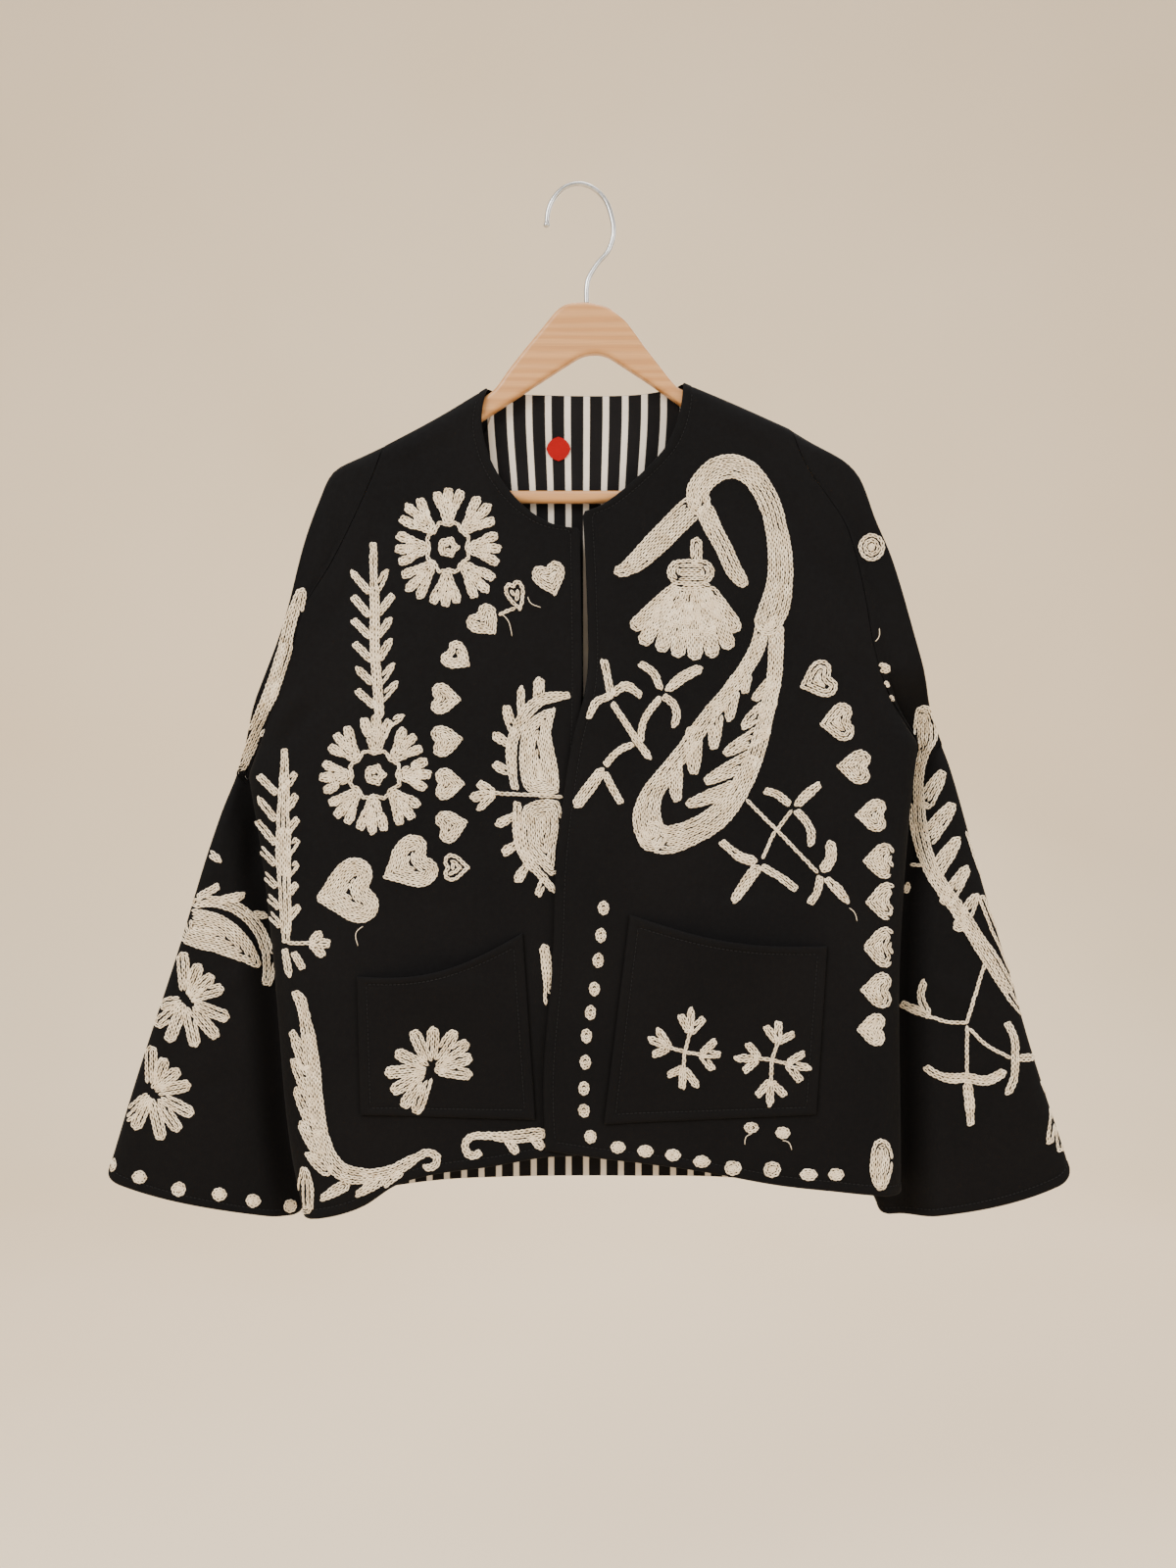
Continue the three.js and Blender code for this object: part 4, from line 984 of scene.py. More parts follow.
# Every place is x and height. Ribbons: rows of place and width. Fingers and barbs: base, tip and
# width. Hearts: middle, width, length and the tip's direction in degrees. Discs: middle, width and
# height. Leaves: closed outlines. Blossoms: middle, half sizes of the hole and of the whole.
# Daisies: middle, petals' width, the slit's half sizes and direction, and the petals' tips.
# No stitch lies farther than the limit from the upright plane x = 0.
MOTIFS = {
    "front_left": {
        "limit": 238,
        "ribbons": [
            [(91, -251, 18), (90, -242, 18), (95, -233, 18), (104, -225, 19), (115, -222, 19),
             (128, -226, 18), (137, -236, 17), (145, -251, 17), (150, -269, 17), (153, -289, 19),
             (153, -309, 20),
             (149, -329, 23), (144, -341, 22)],
            [(140, -341, 11), (136, -360, 12), (126, -378, 12), (111, -398, 12), (94, -419, 13),
             (81, -438, 13), (66, -457, 14), (55, -473, 17), (51, -490, 22), (55, -505, 24)],
            [(56, -505, 24), (66, -508, 22), (83, -503, 20), (103, -492, 19), (118, -475, 17),
             (129, -455, 15), (137, -434, 13), (143, -410, 12), (148, -388, 12), (150, -364, 12),
             (150, -342, 12)],
            [(84, -255, 19), (68, -271, 19), (54, -285, 18), (42, -296, 15), (32, -302, 10), (26, -302, 8)],
            [(96, -257, 15), (102, -270, 14), (110, -285, 13), (118, -302, 13), (127, -314, 9)],
            [(76, -303, 20), (93, -303, 20)],
            [(89, -276, 9), (89, -299, 10)],
            [(24, -402, 4), (41, -428, 5), (54, -447, 6)],
            [(18, -368, 7), (21, -383, 7), (24, -401, 7)],
            [(6, -416, 4), (13, -402, 7), (24, -398, 7)],
            [(24, -397, 7), (35, -390, 8), (48, -399, 7)],
            [(46, -434, 5), (49, -416, 5), (62, -398, 6)],
            [(44, -372, 7), (56, -380, 7), (62, -394, 7)],
            [(94, -376, 8), (79, -383, 9), (65, -395, 7)],
            [(62, -397, 7), (71, -403, 7), (74, -412, 7), (71, -423, 7)],
            [(42, -434, 4), (29, -440, 5), (18, -452, 6)],
            [(18, -453, 8), (7, -468, 10), (-4, -483, 9)],
            [(18, -455, 6), (25, -469, 6), (32, -481, 5)],
            [(124, -474, 4), (149, -499, 4), (181, -532, 5)],
            [(140, -470, 6), (151, -473, 7), (162, -482, 7)],
            [(185, -464, 7), (173, -474, 8), (164, -483, 7)],
            [(164, -484, 7), (173, -494, 7), (177, -503, 7), (176, -514, 7)],
            [(162, -485, 5), (151, -500, 4)],
            [(149, -501, 4), (140, -521, 5)],
            [(107, -508, 6), (121, -520, 8), (136, -525, 9)],
            [(137, -527, 9), (126, -542, 9), (116, -557, 7)],
            [(137, -527, 7), (154, -537, 7), (167, -547, 7)],
            [(191, -508, 8), (192, -521, 9), (185, -533, 9)],
            [(184, -534, 7), (181, -549, 7), (174, -558, 7)],
            [(187, -536, 7), (197, -546, 8), (206, -557, 7)],
            [(230, -738, 10), (231, -749, 17), (230, -762, 17), (230, -775, 8)],
        ],
        "fingers": [
            (74, -314, 44, -343, 12), (76, -314, 50, -354, 12), (79, -314, 63, -359, 12),
            (83, -314, 75, -363, 12), (86, -314, 88, -365, 12), (90, -314, 101, -363, 12),
            (94, -314, 113, -357, 12), (97, -314, 118, -344, 12),
        ],
        "barbs": [
            (127, -372, 126, -397, 11), (117, -390, 114, -418, 12), (104, -408, 102, -439, 13),
            (87, -427, 87, -458, 14), (72, -447, 74, -480, 13), (150, -384, 132, -402, 11),
            (146, -402, 123, -423, 12), (140, -425, 109, -443, 13), (130, -446, 95, -464, 14),
            (118, -468, 80, -482, 13),
        ],
        "leaves": [
            [(70, -312), (60, -324), (50, -340), (64, -350), (84, -353), (104, -350), (112, -340),
             (107, -324), (100, -312)],
        ],
        "hearts": [
            (182, -386, 30, 30, 200), (197, -418, 30, 28, 187), (210, -452, 27, 28, 178),
            (223, -489, 26, 26, 180), (229, -524, 28, 26, 182), (231, -555, 30, 26, 183),
            (229, -590, 32, 26, 180), (227, -623, 28, 26, 180), (223, -653, 26, 24, 180),
        ],
        "discs": [
            (18, -560, 9, 12), (16, -581, 9, 12), (14, -600, 9, 12), (11, -622, 9, 12), (8, -640, 9, 12),
            (5, -658, 9, 12), (4, -678, 9, 12), (3, -698, 9, 12), (3, -715, 9, 11), (8, -735, 10, 11),
            (29, -743, 12, 10), (50, -746, 13, 10), (71, -749, 13, 10), (93, -754, 14, 10),
            (117, -759, 14, 12), (147, -760, 14, 13), (175, -764, 14, 10), (196, -764, 13, 10),
            (131, -728, 12, 9), (155, -732, 12, 10),
        ],
    },
    "pocket_left": {
        "ribbons": [
            [(80, -670, 4), (84, -656, 4)], [(80, -670, 4), (92, -672, 4)],
            [(80, -670, 4), (79, -682, 4)], [(80, -670, 4), (69, -667, 4)],
            [(147, -676, 4), (151, -663, 4)], [(147, -676, 4), (158, -679, 4)],
            [(147, -676, 4), (146, -692, 4)], [(147, -676, 4), (137, -675, 4)],
        ],
        "fingers": [
            (84, -656, 76, -640, 7), (84, -656, 85, -635, 7), (84, -656, 96, -643, 7),
            (92, -672, 105, -660, 7), (92, -672, 109, -672, 7), (92, -672, 103, -685, 7),
            (79, -682, 66, -689, 7), (79, -682, 78, -700, 7), (79, -682, 91, -698, 7),
            (69, -667, 58, -651, 7), (69, -667, 51, -659, 7), (69, -667, 54, -673, 7),
            (151, -663, 141, -649, 7), (151, -663, 152, -645, 7), (151, -663, 165, -655, 7),
            (158, -679, 173, -670, 7), (158, -679, 178, -683, 7), (158, -679, 170, -694, 7),
            (146, -692, 134, -705, 7), (146, -692, 145, -713, 7), (146, -692, 158, -705, 7),
            (137, -675, 127, -662, 7), (137, -675, 117, -675, 7), (137, -675, 124, -686, 7),
        ],
    },
    "front_right": {
        "ribbons": [
            [(-158, -279, 5), (-158, -300, 7), (-157, -330, 8), (-157, -360, 8), (-155, -390, 8),
             (-153, -416, 8)],
            [(-226, -437, 5), (-226, -458, 8), (-227, -488, 10), (-227, -518, 12), (-226, -544, 10),
             (-225, -570, 9), (-225, -588, 6)],
            [(-224, -587, 4), (-207, -587, 4)],
            [(-220, -624, 7), (-214, -630, 9), (-211, -642, 9), (-208, -657, 11), (-206, -672, 12),
             (-204, -686, 12), (-203, -701, 12), (-201, -715, 12), (-199, -729, 12), (-195, -743, 12),
             (-190, -754, 13), (-181, -762, 14), (-169, -765, 13), (-155, -764, 10), (-141, -760, 10),
             (-127, -752, 8), (-116, -747, 6), (-109, -751, 6), (-112, -758, 6), (-121, -758, 6)],
            [(-75, -745, 6), (-79, -749, 6), (-85, -749, 6), (-88, -742, 6), (-85, -736, 6), (-76, -734, 7),
             (-62, -735, 8), (-48, -735, 10), (-34, -733, 10), (-26, -732, 8)],
            [(-49, -471, 7), (-52, -454, 8), (-52, -433, 9), (-46, -419, 9), (-38, -407, 10),
             (-27, -400, 9), (-6, -397, 7)],
            [(-48, -477, 7), (-48, -495, 8), (-46, -512, 8), (-39, -525, 8), (-28, -537, 7),
             (-19, -548, 5)],
            [(-13, -475, 4), (-65, -472, 4)],
            [(-49, -330, 3), (-61, -335, 3)],
            [(-28, -587, 8), (-25, -611, 8), (-25, -636, 6)],
            [(-211, -757, 6), (-210, -774, 13), (-209, -794, 11)],
            [(-226, -590, 5), (-222, -614, 7)],
        ],
        "fingers": [
            (-160, -320, -176, -301, 7), (-160, -338, -175, -320, 7), (-159, -354, -175, -338, 7),
            (-158, -372, -174, -356, 7), (-157, -390, -172, -375, 7), (-156, -407, -172, -392, 7),
            (-156, -318, -147, -300, 7), (-155, -336, -142, -319, 7), (-155, -353, -144, -337, 7),
            (-154, -371, -144, -353, 7), (-154, -389, -142, -372, 7), (-153, -402, -139, -386, 7),
            (-152, -423, -134, -412, 7), (-231, -474, -247, -457, 7), (-232, -494, -247, -474, 7),
            (-232, -512, -248, -492, 7), (-232, -528, -248, -510, 7), (-231, -545, -247, -528, 7),
            (-229, -561, -244, -545, 7), (-228, -575, -241, -560, 7), (-226, -470, -217, -455, 7),
            (-225, -486, -216, -472, 7), (-225, -504, -215, -490, 7), (-225, -521, -215, -506, 7),
            (-225, -537, -215, -524, 7), (-224, -552, -216, -540, 7), (-223, -569, -214, -557, 7),
            (-220, -593, -211, -608, 7), (-207, -587, -197, -578, 8), (-207, -587, -190, -587, 8),
            (-207, -587, -195, -597, 8),
            (-57, -737, -47, -748, 8), (-39, -735, -27, -744, 8), (-52, -458, -67, -449, 8),
            (-52, -437, -67, -426, 8), (-51, -428, -57, -404, 8), (-45, -414, -45, -389, 7),
            (-32, -404, -31, -383, 9), (-48, -488, -65, -497, 8), (-46, -509, -60, -519, 8),
            (-40, -525, -49, -541, 8), (-27, -537, -33, -552, 7), (-65, -472, -79, -464, 8),
            (-65, -472, -85, -476, 8), (-65, -472, -79, -486, 7),
        ],
        "barbs": [
            (-208, -684, -221, -653, 11), (-205, -706, -220, -674, 12), (-202, -730, -218, -697, 12),
            (-197, -750, -215, -723, 12), (-190, -764, -210, -747, 11), (-176, -770, -199, -783, 10),
            (-150, -766, -172, -780, 10), (-134, -758, -151, -773, 9),
        ],
        "hearts": [
            (-23, -308, 26, 28, -72), (-49, -321, 16, 27, -73), (-73, -341, 26, 26, -48),
            (-94, -368, 23, 25, -35), (-103, -400, 25, 25, -3), (-102, -432, 25, 26, 7),
            (-100, -465, 25, 25, 0), (-98, -497, 26, 26, 15), (-95, -529, 22, 22, 0),
            (-131, -527, 42, 44, 207), (-178, -548, 51, 50, 192),
        ],
        "leaves": [
            [(-19, -407), (-34, -412), (-43, -422), (-46, -437), (-46, -455), (-41, -470), (-17, -472),
             (-16, -462), (-18, -447), (-22, -425)],
            [(-43, -482), (-44, -498), (-42, -514), (-32, -527), (-19, -536), (-15, -512), (-13, -496),
             (-17, -478)],
        ],
        "blossoms": [(-101, -284, 14, 17, 43, 48), (-157, -458, 17, 16, 43, 47)],
    },
    "pocket_right": {
        "daisies": [
            (-114, -683, 10, (9, 4), 70, [
                (-142, -670), (-150, -686), (-145, -701), (-136, -713), (-126, -718), (-128, -653),
                (-112, -650), (-95, -653), (-85, -662), (-82, -674), (-82, -688),
            ]),
        ],
    },
    "sleeve_left": {
        "ribbons": [
            [(263, -411, 14), (264, -428, 20), (261, -443, 12), (258, -458, 11), (258, -476, 12),
             (259, -495, 14), (263, -514, 13), (270, -533, 12), (281, -550, 12), (293, -567, 12),
             (304, -584, 12), (314, -599, 13), (323, -614, 12), (332, -629, 10), (341, -645, 7),
             (347, -662, 5)],
            [(306, -549, 6), (314, -570, 7), (323, -591, 7), (332, -614, 7)],
            [(296, -500, 5), (302, -518, 6), (311, -545, 6), (321, -574, 6)],
            [(249, -527, 5), (264, -527, 5)],
            [(310, -602, 4), (303, -624, 4), (296, -647, 4)],
            [(296, -648, 4), (281, -647, 4), (267, -643, 4)],
            [(269, -643, 7), (257, -638, 8), (244, -632, 7)],
            [(267, -642, 7), (261, -628, 7), (264, -614, 7)],
            [(296, -650, 4), (296, -687, 4)],
            [(263, -680, 7), (270, -686, 7), (282, -690, 8), (296, -690, 8), (311, -692, 8), (320, -688, 8),
             (326, -683, 7)],
            [(296, -692, 8), (298, -710, 8), (299, -728, 7)],
            [(298, -652, 4), (311, -665, 4), (328, -674, 4)],
            [(326, -646, 6), (332, -659, 6), (333, -674, 7), (332, -691, 7), (326, -704, 7)],
            [(333, -675, 7), (349, -674, 7)],
            [(353, -691, 5), (361, -713, 7), (359, -742, 7)],
            [(362, -713, 5), (368, -748, 6)],
            [(222, -365, 6), (227, -370, 6)],
            [(227, -375, 8), (238, -378, 8)],
            [(230, -388, 7), (237, -391, 7)],
            [(234, -398, 7), (240, -402, 7)],
        ],
        "barbs": [
            (265, -478, 278, -455, 14), (267, -505, 286, -480, 15), (272, -532, 290, -506, 14),
            (281, -553, 297, -528, 13), (291, -573, 304, -548, 12),
        ],
        "discs": [(223, -284, 21, 22), (248, -544, 11, 11)],
    },
    "sleeve_right": {
        "ribbons": [
            [(-212, -315, 8), (-219, -338, 13), (-224, -360, 14), (-231, -383, 14), (-239, -405, 14),
             (-250, -429, 13), (-262, -455, 10)],
            [(-226, -380, 7), (-231, -392, 7), (-233, -404, 6)],
            [(-289, -513, 6), (-274, -525, 6)],
            [(-294, -553, 7), (-285, -548, 7), (-275, -542, 7)],
            [(-298, -557, 8), (-280, -555, 9), (-263, -560, 10), (-250, -571, 10), (-241, -587, 10),
             (-238, -604, 10), (-240, -620, 9)],
            [(-277, -554, 7), (-264, -552, 8), (-255, -549, 7)],
            [(-258, -563, 8), (-247, -565, 7), (-238, -566, 7)],
        ],
        "leaves": [
            [(-306, -562), (-280, -563), (-265, -571), (-254, -582), (-247, -594), (-244, -606),
             (-263, -600), (-280, -594), (-296, -590), (-306, -584)],
        ],
        "daisies": [
            (-302, -630, 10, (9, 4), -45, [
                (-304, -593), (-291, -602), (-280, -611), (-272, -621), (-268, -645), (-277, -660),
                (-294, -667), (-315, -663), (-325, -651), (-322, -635),
            ]),
            (-328, -701, 10, (9, 4), -40, [
                (-328, -665), (-317, -674), (-306, -683), (-297, -695), (-295, -718), (-306, -731),
                (-320, -738), (-341, -730), (-349, -722),
            ]),
        ],
        "discs": [
            (-359, -756, 10, 14), (-337, -766, 12, 11), (-307, -775, 12, 12), (-276, -779, 12, 11),
            (-250, -784, 12, 11), (-222, -788, 11, 11),
        ],
    },
}

# Loose ends of yarn: piece, start, end, and how far they bow sideways
TAILS = [
    ("front_right", (-166, -574), (-170, -589), 5),
    ("front_right", (-62, -334), (-52, -352), -4),
    ("front_right", (-40, -322), (-30, -330), 3),
    ("front_left", (155, -738), (162, -745), -3),
    ("front_left", (131, -733), (126, -741), 3),
    ("front_left", (96, -760), (102, -767), 2),
    ("front_left", (206, -560), (212, -570), -2),
    ("sleeve_right", (-222, -794), (-226, -800), -3),
    ("sleeve_right", (-276, -785), (-283, -793), 3),
    ("sleeve_left", (226, -356), (229, -346), 2),
]
TAIL_RADIUS = 0.3

FAN_COUNT = 8
FAN_SPREAD = 14  # degrees between the fingers of a blossom's fan
FAN_WIDTH = 8
FAN_SIDE_REACH = 0.93  # of the middle finger's
FAN_BASE = 0.35  # share of the way out at which its fingers start
# The filled part under the fingers: shares of the spread sideways and of the way out
FAN_BODY = [(-0.8, 0), (-1.1, 0.3), (-1.2, 0.6), (0, 0.75), (1.2, 0.6), (1.1, 0.3), (0.8, 0)]
BLOSSOM_RIM = 1.6  # from a blossom's hole to the middle of its rim
RIM_WAVE = 0.1
PETAL_BASE = 0.08  # share of a petal's way at which it starts
HEART_PLUMP = 0.3  # from a deep-notched heart to an oval
CORE_LOBES = 5
CORE_SIZE = 8.2  # radius of the small flower inside a blossom


def spine(rows):
    """Even points of a smooth line through rows of x, height and width."""
    points = curve(rows)
    whole = along(points)[-1]
    return sampled(points, np.linspace(0, whole, max(8, round(whole / OUTLINE_STEP))))


def arc(centre, ahead, beside, radius):
    """The round end of a ribbon, from its left side to its right side."""
    angles = np.linspace(math.pi / 2, -math.pi / 2, 9)[1:-1, None]
    return centre + radius * (np.cos(angles) * ahead + np.sin(angles) * beside)


def ribbon(rows):
    """Rows of stitches that fill a ribbon: one round its edge and the others along it inside."""
    path = spine(rows)
    if path[:, 2].max() < THIN:
        return [path[:, :2]]
    distance = along(path[:, :2])
    first = 0 if path[0, 2] > JOINED else path[0, 2] / 2
    last = distance[-1] if path[-1, 2] > JOINED else distance[-1] - path[-1, 2] / 2
    if last - first < 1:
        x, z, width = path[len(path) // 2]
        return rings(disc(x, z, width, max(width, distance[-1])))
    steps = np.linspace(first, last, max(4, round((last - first) / OUTLINE_STEP)))
    x, z, width = (np.interp(steps, distance, column) for column in path.T)
    middle = np.stack([x, z], axis=1)
    reach = np.maximum(width / 2 - ROW / 2, width / 4)
    reach = np.where(reach < 0.75 * ROW, np.minimum(reach, 0.53 * ROW), reach)
    ahead = unit(np.gradient(middle, axis=0))
    beside = quarter_turned(ahead)
    left = middle + beside * reach[:, None]
    right = middle - beside * reach[:, None]
    tip, root = (middle[-1], ahead[-1], beside[-1]), (middle[0], -ahead[0], -beside[0])
    lines = [np.concatenate([left, arc(*tip, reach[-1]), right[::-1], arc(*root, reach[0]), left[:1]])]
    gaps = np.maximum(1, np.round(2 * reach / ROW)).astype(int)
    for end, index in ((tip, -1), (root, 0)):
        for lane in range(1, gaps[index] // 2 + 1):
            lines.append(arc(*end, reach[index] * (1 - 2 * lane / gaps[index])))
    for part in np.split(np.arange(len(gaps)), np.flatnonzero(np.diff(gaps)) + 1):
        for lane in range(1, gaps[part[0]]):
            aside = reach * (2 * lane / gaps[part[0]] - 1)
            lines.append((middle + beside * aside[:, None])[part])
    return lines


def finger(x0, z0, x1, z1, width):
    return ribbon([(x0, z0, width * BASE_SHARE), ((x0 + x1) / 2, (z0 + z1) / 2, width), (x1, z1, width)])


def barb(x0, z0, x1, z1, width):
    """A finger that narrows to its tip."""
    middle = (mix(x0, x1, 0.6), mix(z0, z1, 0.6), width * 0.85)
    return ribbon([(x0, z0, width), middle, (x1, z1, width * BARB_TIP)])


INSET_STEP = 0.3  # with which the deepest row inside an outline is found
INSET_LEAST = 0.96  # a row's points that are nearer to the outline than this share are dropped


def inset(points, inward, distance):
    """Runs of the line that lies inside an outline at a distance."""
    moved = points + inward * distance
    gap = np.linalg.norm(moved[:, None] - points[None], axis=2).min(axis=1)
    kept = gap > INSET_LEAST * distance
    if kept.all():
        return [np.concatenate([moved, moved[:1]])]
    order = np.roll(np.arange(len(points)), -int(np.argmin(kept)))
    parts = np.split(order, np.flatnonzero(np.diff(kept[order].astype(int))) + 1)
    return [moved[part] for part in parts if kept[part[0]] and len(part) > 1]


def rings(outline):
    """Rows of stitches that fill a closed outline, one inside another."""
    closed = np.concatenate([outline, outline[:1]])
    whole = along(closed)[-1]
    points = sampled(closed, np.linspace(0, whole, max(12, round(whole / OUTLINE_STEP)), endpoint=False))
    after, before = np.roll(points, -1, axis=0), np.roll(points, 1, axis=0)
    inward = unit(quarter_turned(after - before))
    inward *= np.sign(np.sum(points[:, 0] * after[:, 1] - after[:, 0] * points[:, 1]))
    deepest = ROW / 2
    while inset(points, inward, deepest + INSET_STEP):
        deepest += INSET_STEP
    innermost = max(ROW / 2, deepest - ROW / 2)
    count = round((innermost - ROW / 2) / ROW) + 1
    distances = [*np.linspace(ROW / 2, innermost, count), deepest - 0.1]
    return [line for distance in distances for line in inset(points, inward, distance)]


def disc(x, z, width, height):
    angles = np.linspace(0, 2 * math.pi, 40, endpoint=False)
    return np.stack([x + width / 2 * np.cos(angles), z + height / 2 * np.sin(angles)], axis=1)


def heart(x, z, width, length, aim):
    """A heart's outline; aim is the direction of its tip."""
    t = np.linspace(0, 2 * math.pi, 120, endpoint=False)
    lobes = 13 * np.cos(t) - 5 * np.cos(2 * t) - 2 * np.cos(3 * t) - np.cos(4 * t)
    across = width / 2 * mix(np.sin(t) ** 3, np.sin(t), HEART_PLUMP)
    forward = -length * (mix(lobes, 14.5 * np.cos(t) - 2.5, HEART_PLUMP) + 2.5) / 29
    cosine, sine = direction(aim)
    return np.stack([x + forward * cosine - across * sine, z + forward * sine + across * cosine], axis=1)


def leaf(rows):
    """A smooth closed outline through its rows."""
    points = curve([rows[-1], *rows, rows[0], rows[1]])
    return points[EDGE_STEPS:EDGE_STEPS * (len(rows) + 1)]


def blossom(x, z, hole_x, hole_z, reach_x, reach_z):
    """A rim round a dark hole, fans of three fingers outside it and a small flower inside."""

    def place(degrees, share):
        """A place round the middle: share 0 is on the hole's rim and 1 at the reach."""
        cosine, sine = direction(degrees)
        size_x = mix(hole_x + BLOSSOM_RIM, reach_x, share)
        size_z = mix(hole_z + BLOSSOM_RIM, reach_z, share)
        return x + size_x * cosine, z + size_z * sine

    angles = np.linspace(0, 2 * math.pi, 73)
    size = 1 - RIM_WAVE * np.cos(FAN_COUNT * angles)
    rim_x = x + (hole_x + BLOSSOM_RIM) * size * np.cos(angles)
    rim_z = z + (hole_z + BLOSSOM_RIM) * size * np.sin(angles)
    lines = [np.stack([rim_x, rim_z], axis=1)]
    for index in range(FAN_COUNT):
        middle = 360 / FAN_COUNT * index + 3 * math.sin(5 * index + x)
        reach = 1 + 0.06 * math.sin(3 * index + z)
        fan = (0, reach), (-FAN_SPREAD, FAN_SIDE_REACH), (FAN_SPREAD, FAN_SIDE_REACH * reach)
        for step, share in fan:
            base = place(middle + step * 0.8, FAN_BASE)
            lines += finger(*base, *place(middle + step, share), FAN_WIDTH)
        lines += rings(leaf([place(middle + side * FAN_SPREAD, share) for side, share in FAN_BODY]))
    core = CORE_SIZE * (1 + 0.14 * np.cos(CORE_LOBES * angles))[:-1]
    outline = np.stack([x + core * np.cos(angles[:-1]), z + core * np.sin(angles[:-1])], axis=1)
    return lines + rings(outline)


def daisy(x, z, width, slit, aim, tips):
    """Petals round a dark slit; aim is the slit's direction."""
    lines = []
    for tip_x, tip_z in tips:
        lines += finger(mix(x, tip_x, PETAL_BASE), mix(z, tip_z, PETAL_BASE), tip_x, tip_z, width)
    cosine, sine = direction(aim)
    parts = []
    for line in lines:
        from_x, from_z = (line - (x, z)).T
        ahead, aside = from_x * cosine + from_z * sine, from_z * cosine - from_x * sine
        clear = (ahead / slit[0]) ** 2 + (aside / slit[1]) ** 2 > 1
        for part in np.split(np.arange(len(line)), np.flatnonzero(np.diff(clear.astype(int))) + 1):
            if clear[part[0]] and len(part) > 2:
                parts.append(line[part])
    return parts


def motif_lines(motifs):
    """All rows of stitches of one piece's motifs."""
    makers = {
        "ribbons": ribbon,
        "blossoms": lambda row: blossom(*row),
        "daisies": lambda row: daisy(*row),
        "fingers": lambda row: finger(*row),
        "barbs": lambda row: barb(*row),
        "leaves": lambda row: rings(leaf(row)),
        "hearts": lambda row: rings(heart(*row)),
        "discs": lambda row: rings(disc(*row)),
    }
    return [line for kind, make in makers.items() for row in motifs.get(kind, ()) for line in make(row)]


def stitch_places(lines, limit):
    """Both ends of every stitch on the plane; crowded ones and those beyond the limit are left out."""
    places, middles = [], np.empty((0, 2))
    for line in lines:
        whole = along(line)[-1]
        if whole < SHORTEST:
            continue
        closed = whole > 2 * PITCH and math.dist(line[0], line[-1]) < 0.5
        count = max(RING_LEAST if closed else 1, round(whole / PITCH))
        points = sampled(line, np.linspace(0, whole, count + 1))
        fresh = []
        for start, end in zip(points, points[1:]):
            middle = (start + end) / 2
            near = len(middles) and np.linalg.norm(middles - middle, axis=1).min() < CROWDED
            if not near and abs(middle[0]) < limit:
                fresh.append(middle)
                places.append((start, end))
        if fresh:
            middles = np.concatenate([middles, fresh])
    return places


def skin_tree(net):
    """The outer face of a cloth, for laying things on it."""
    skin = net.moved(CLOTH / 2 + SKIN_CLEAR)
    return BVHTree.FromPolygons(skin.reshape(-1, 3).tolist(), cells(net.grid()).tolist())


def laid(trees, target, place):
    """Where the view line through a place meets a piece, and the way out of its cloth there."""
    start = Vector(VIEWPOINT)
    way = (Vector((place[0], STITCH_PLANE, place[1])) - start).normalized()
    hits = [(*tree.ray_cast(start, way), name) for name, tree in trees.items()]
    hits = [hit for hit in hits if hit[0] is not None]
    if not hits:
        return None
    point, normal, _, _, name = min(hits, key=lambda hit: hit[3])
    if name != target:
        return None
    return np.array(point), np.array(normal if normal.dot(way) < 0 else -normal)


TUBE_SIDES = 4  # of yarn and thread


def tubes(routes, radii, outwards, closed=False, sides=TUBE_SIDES):
    """Vertices and faces of many tubes; each route has the same number of points."""
    count, steps = routes.shape[:2]
    if closed:
        ahead = unit(np.roll(routes, -1, axis=1) - np.roll(routes, 1, axis=1))
    else:
        ahead = unit(np.gradient(routes, axis=1))
    beside = unit(np.cross(ahead, outwards))
    above = np.cross(beside, ahead)
    angles = 2 * math.pi * np.arange(sides) / sides
    section = beside[:, :, None] * np.cos(angles)[:, None] + above[:, :, None] * np.sin(angles)[:, None]
    vertices = (routes[:, :, None] + radii[..., None, None] * section).reshape(-1, 3)
    index = np.arange(count * steps * sides).reshape(count, steps, sides)
    after = np.roll(index, -1, axis=1)
    here, there = (index, after) if closed else (index[:, :-1], after[:, :-1])
    faces = np.stack([here, there, np.roll(there, -1, axis=2), np.roll(here, -1, axis=2)], axis=-1)
    faces = faces.reshape(-1, 4).tolist()
    if not closed:
        faces += index[:, 0].tolist() + index[:, -1, ::-1].tolist()
    return vertices, faces


def yarn_piece(name, vertices, faces, tones, finish):
    piece = mesh_object(name, vertices, faces, smooth_angle=180)
    layer = piece.data.attributes.new("tone", "FLOAT", "POINT")
    layer.data.foreach_set("value", tones.astype(np.float32))
    piece.data.materials.append(finish)
    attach(piece, "root")


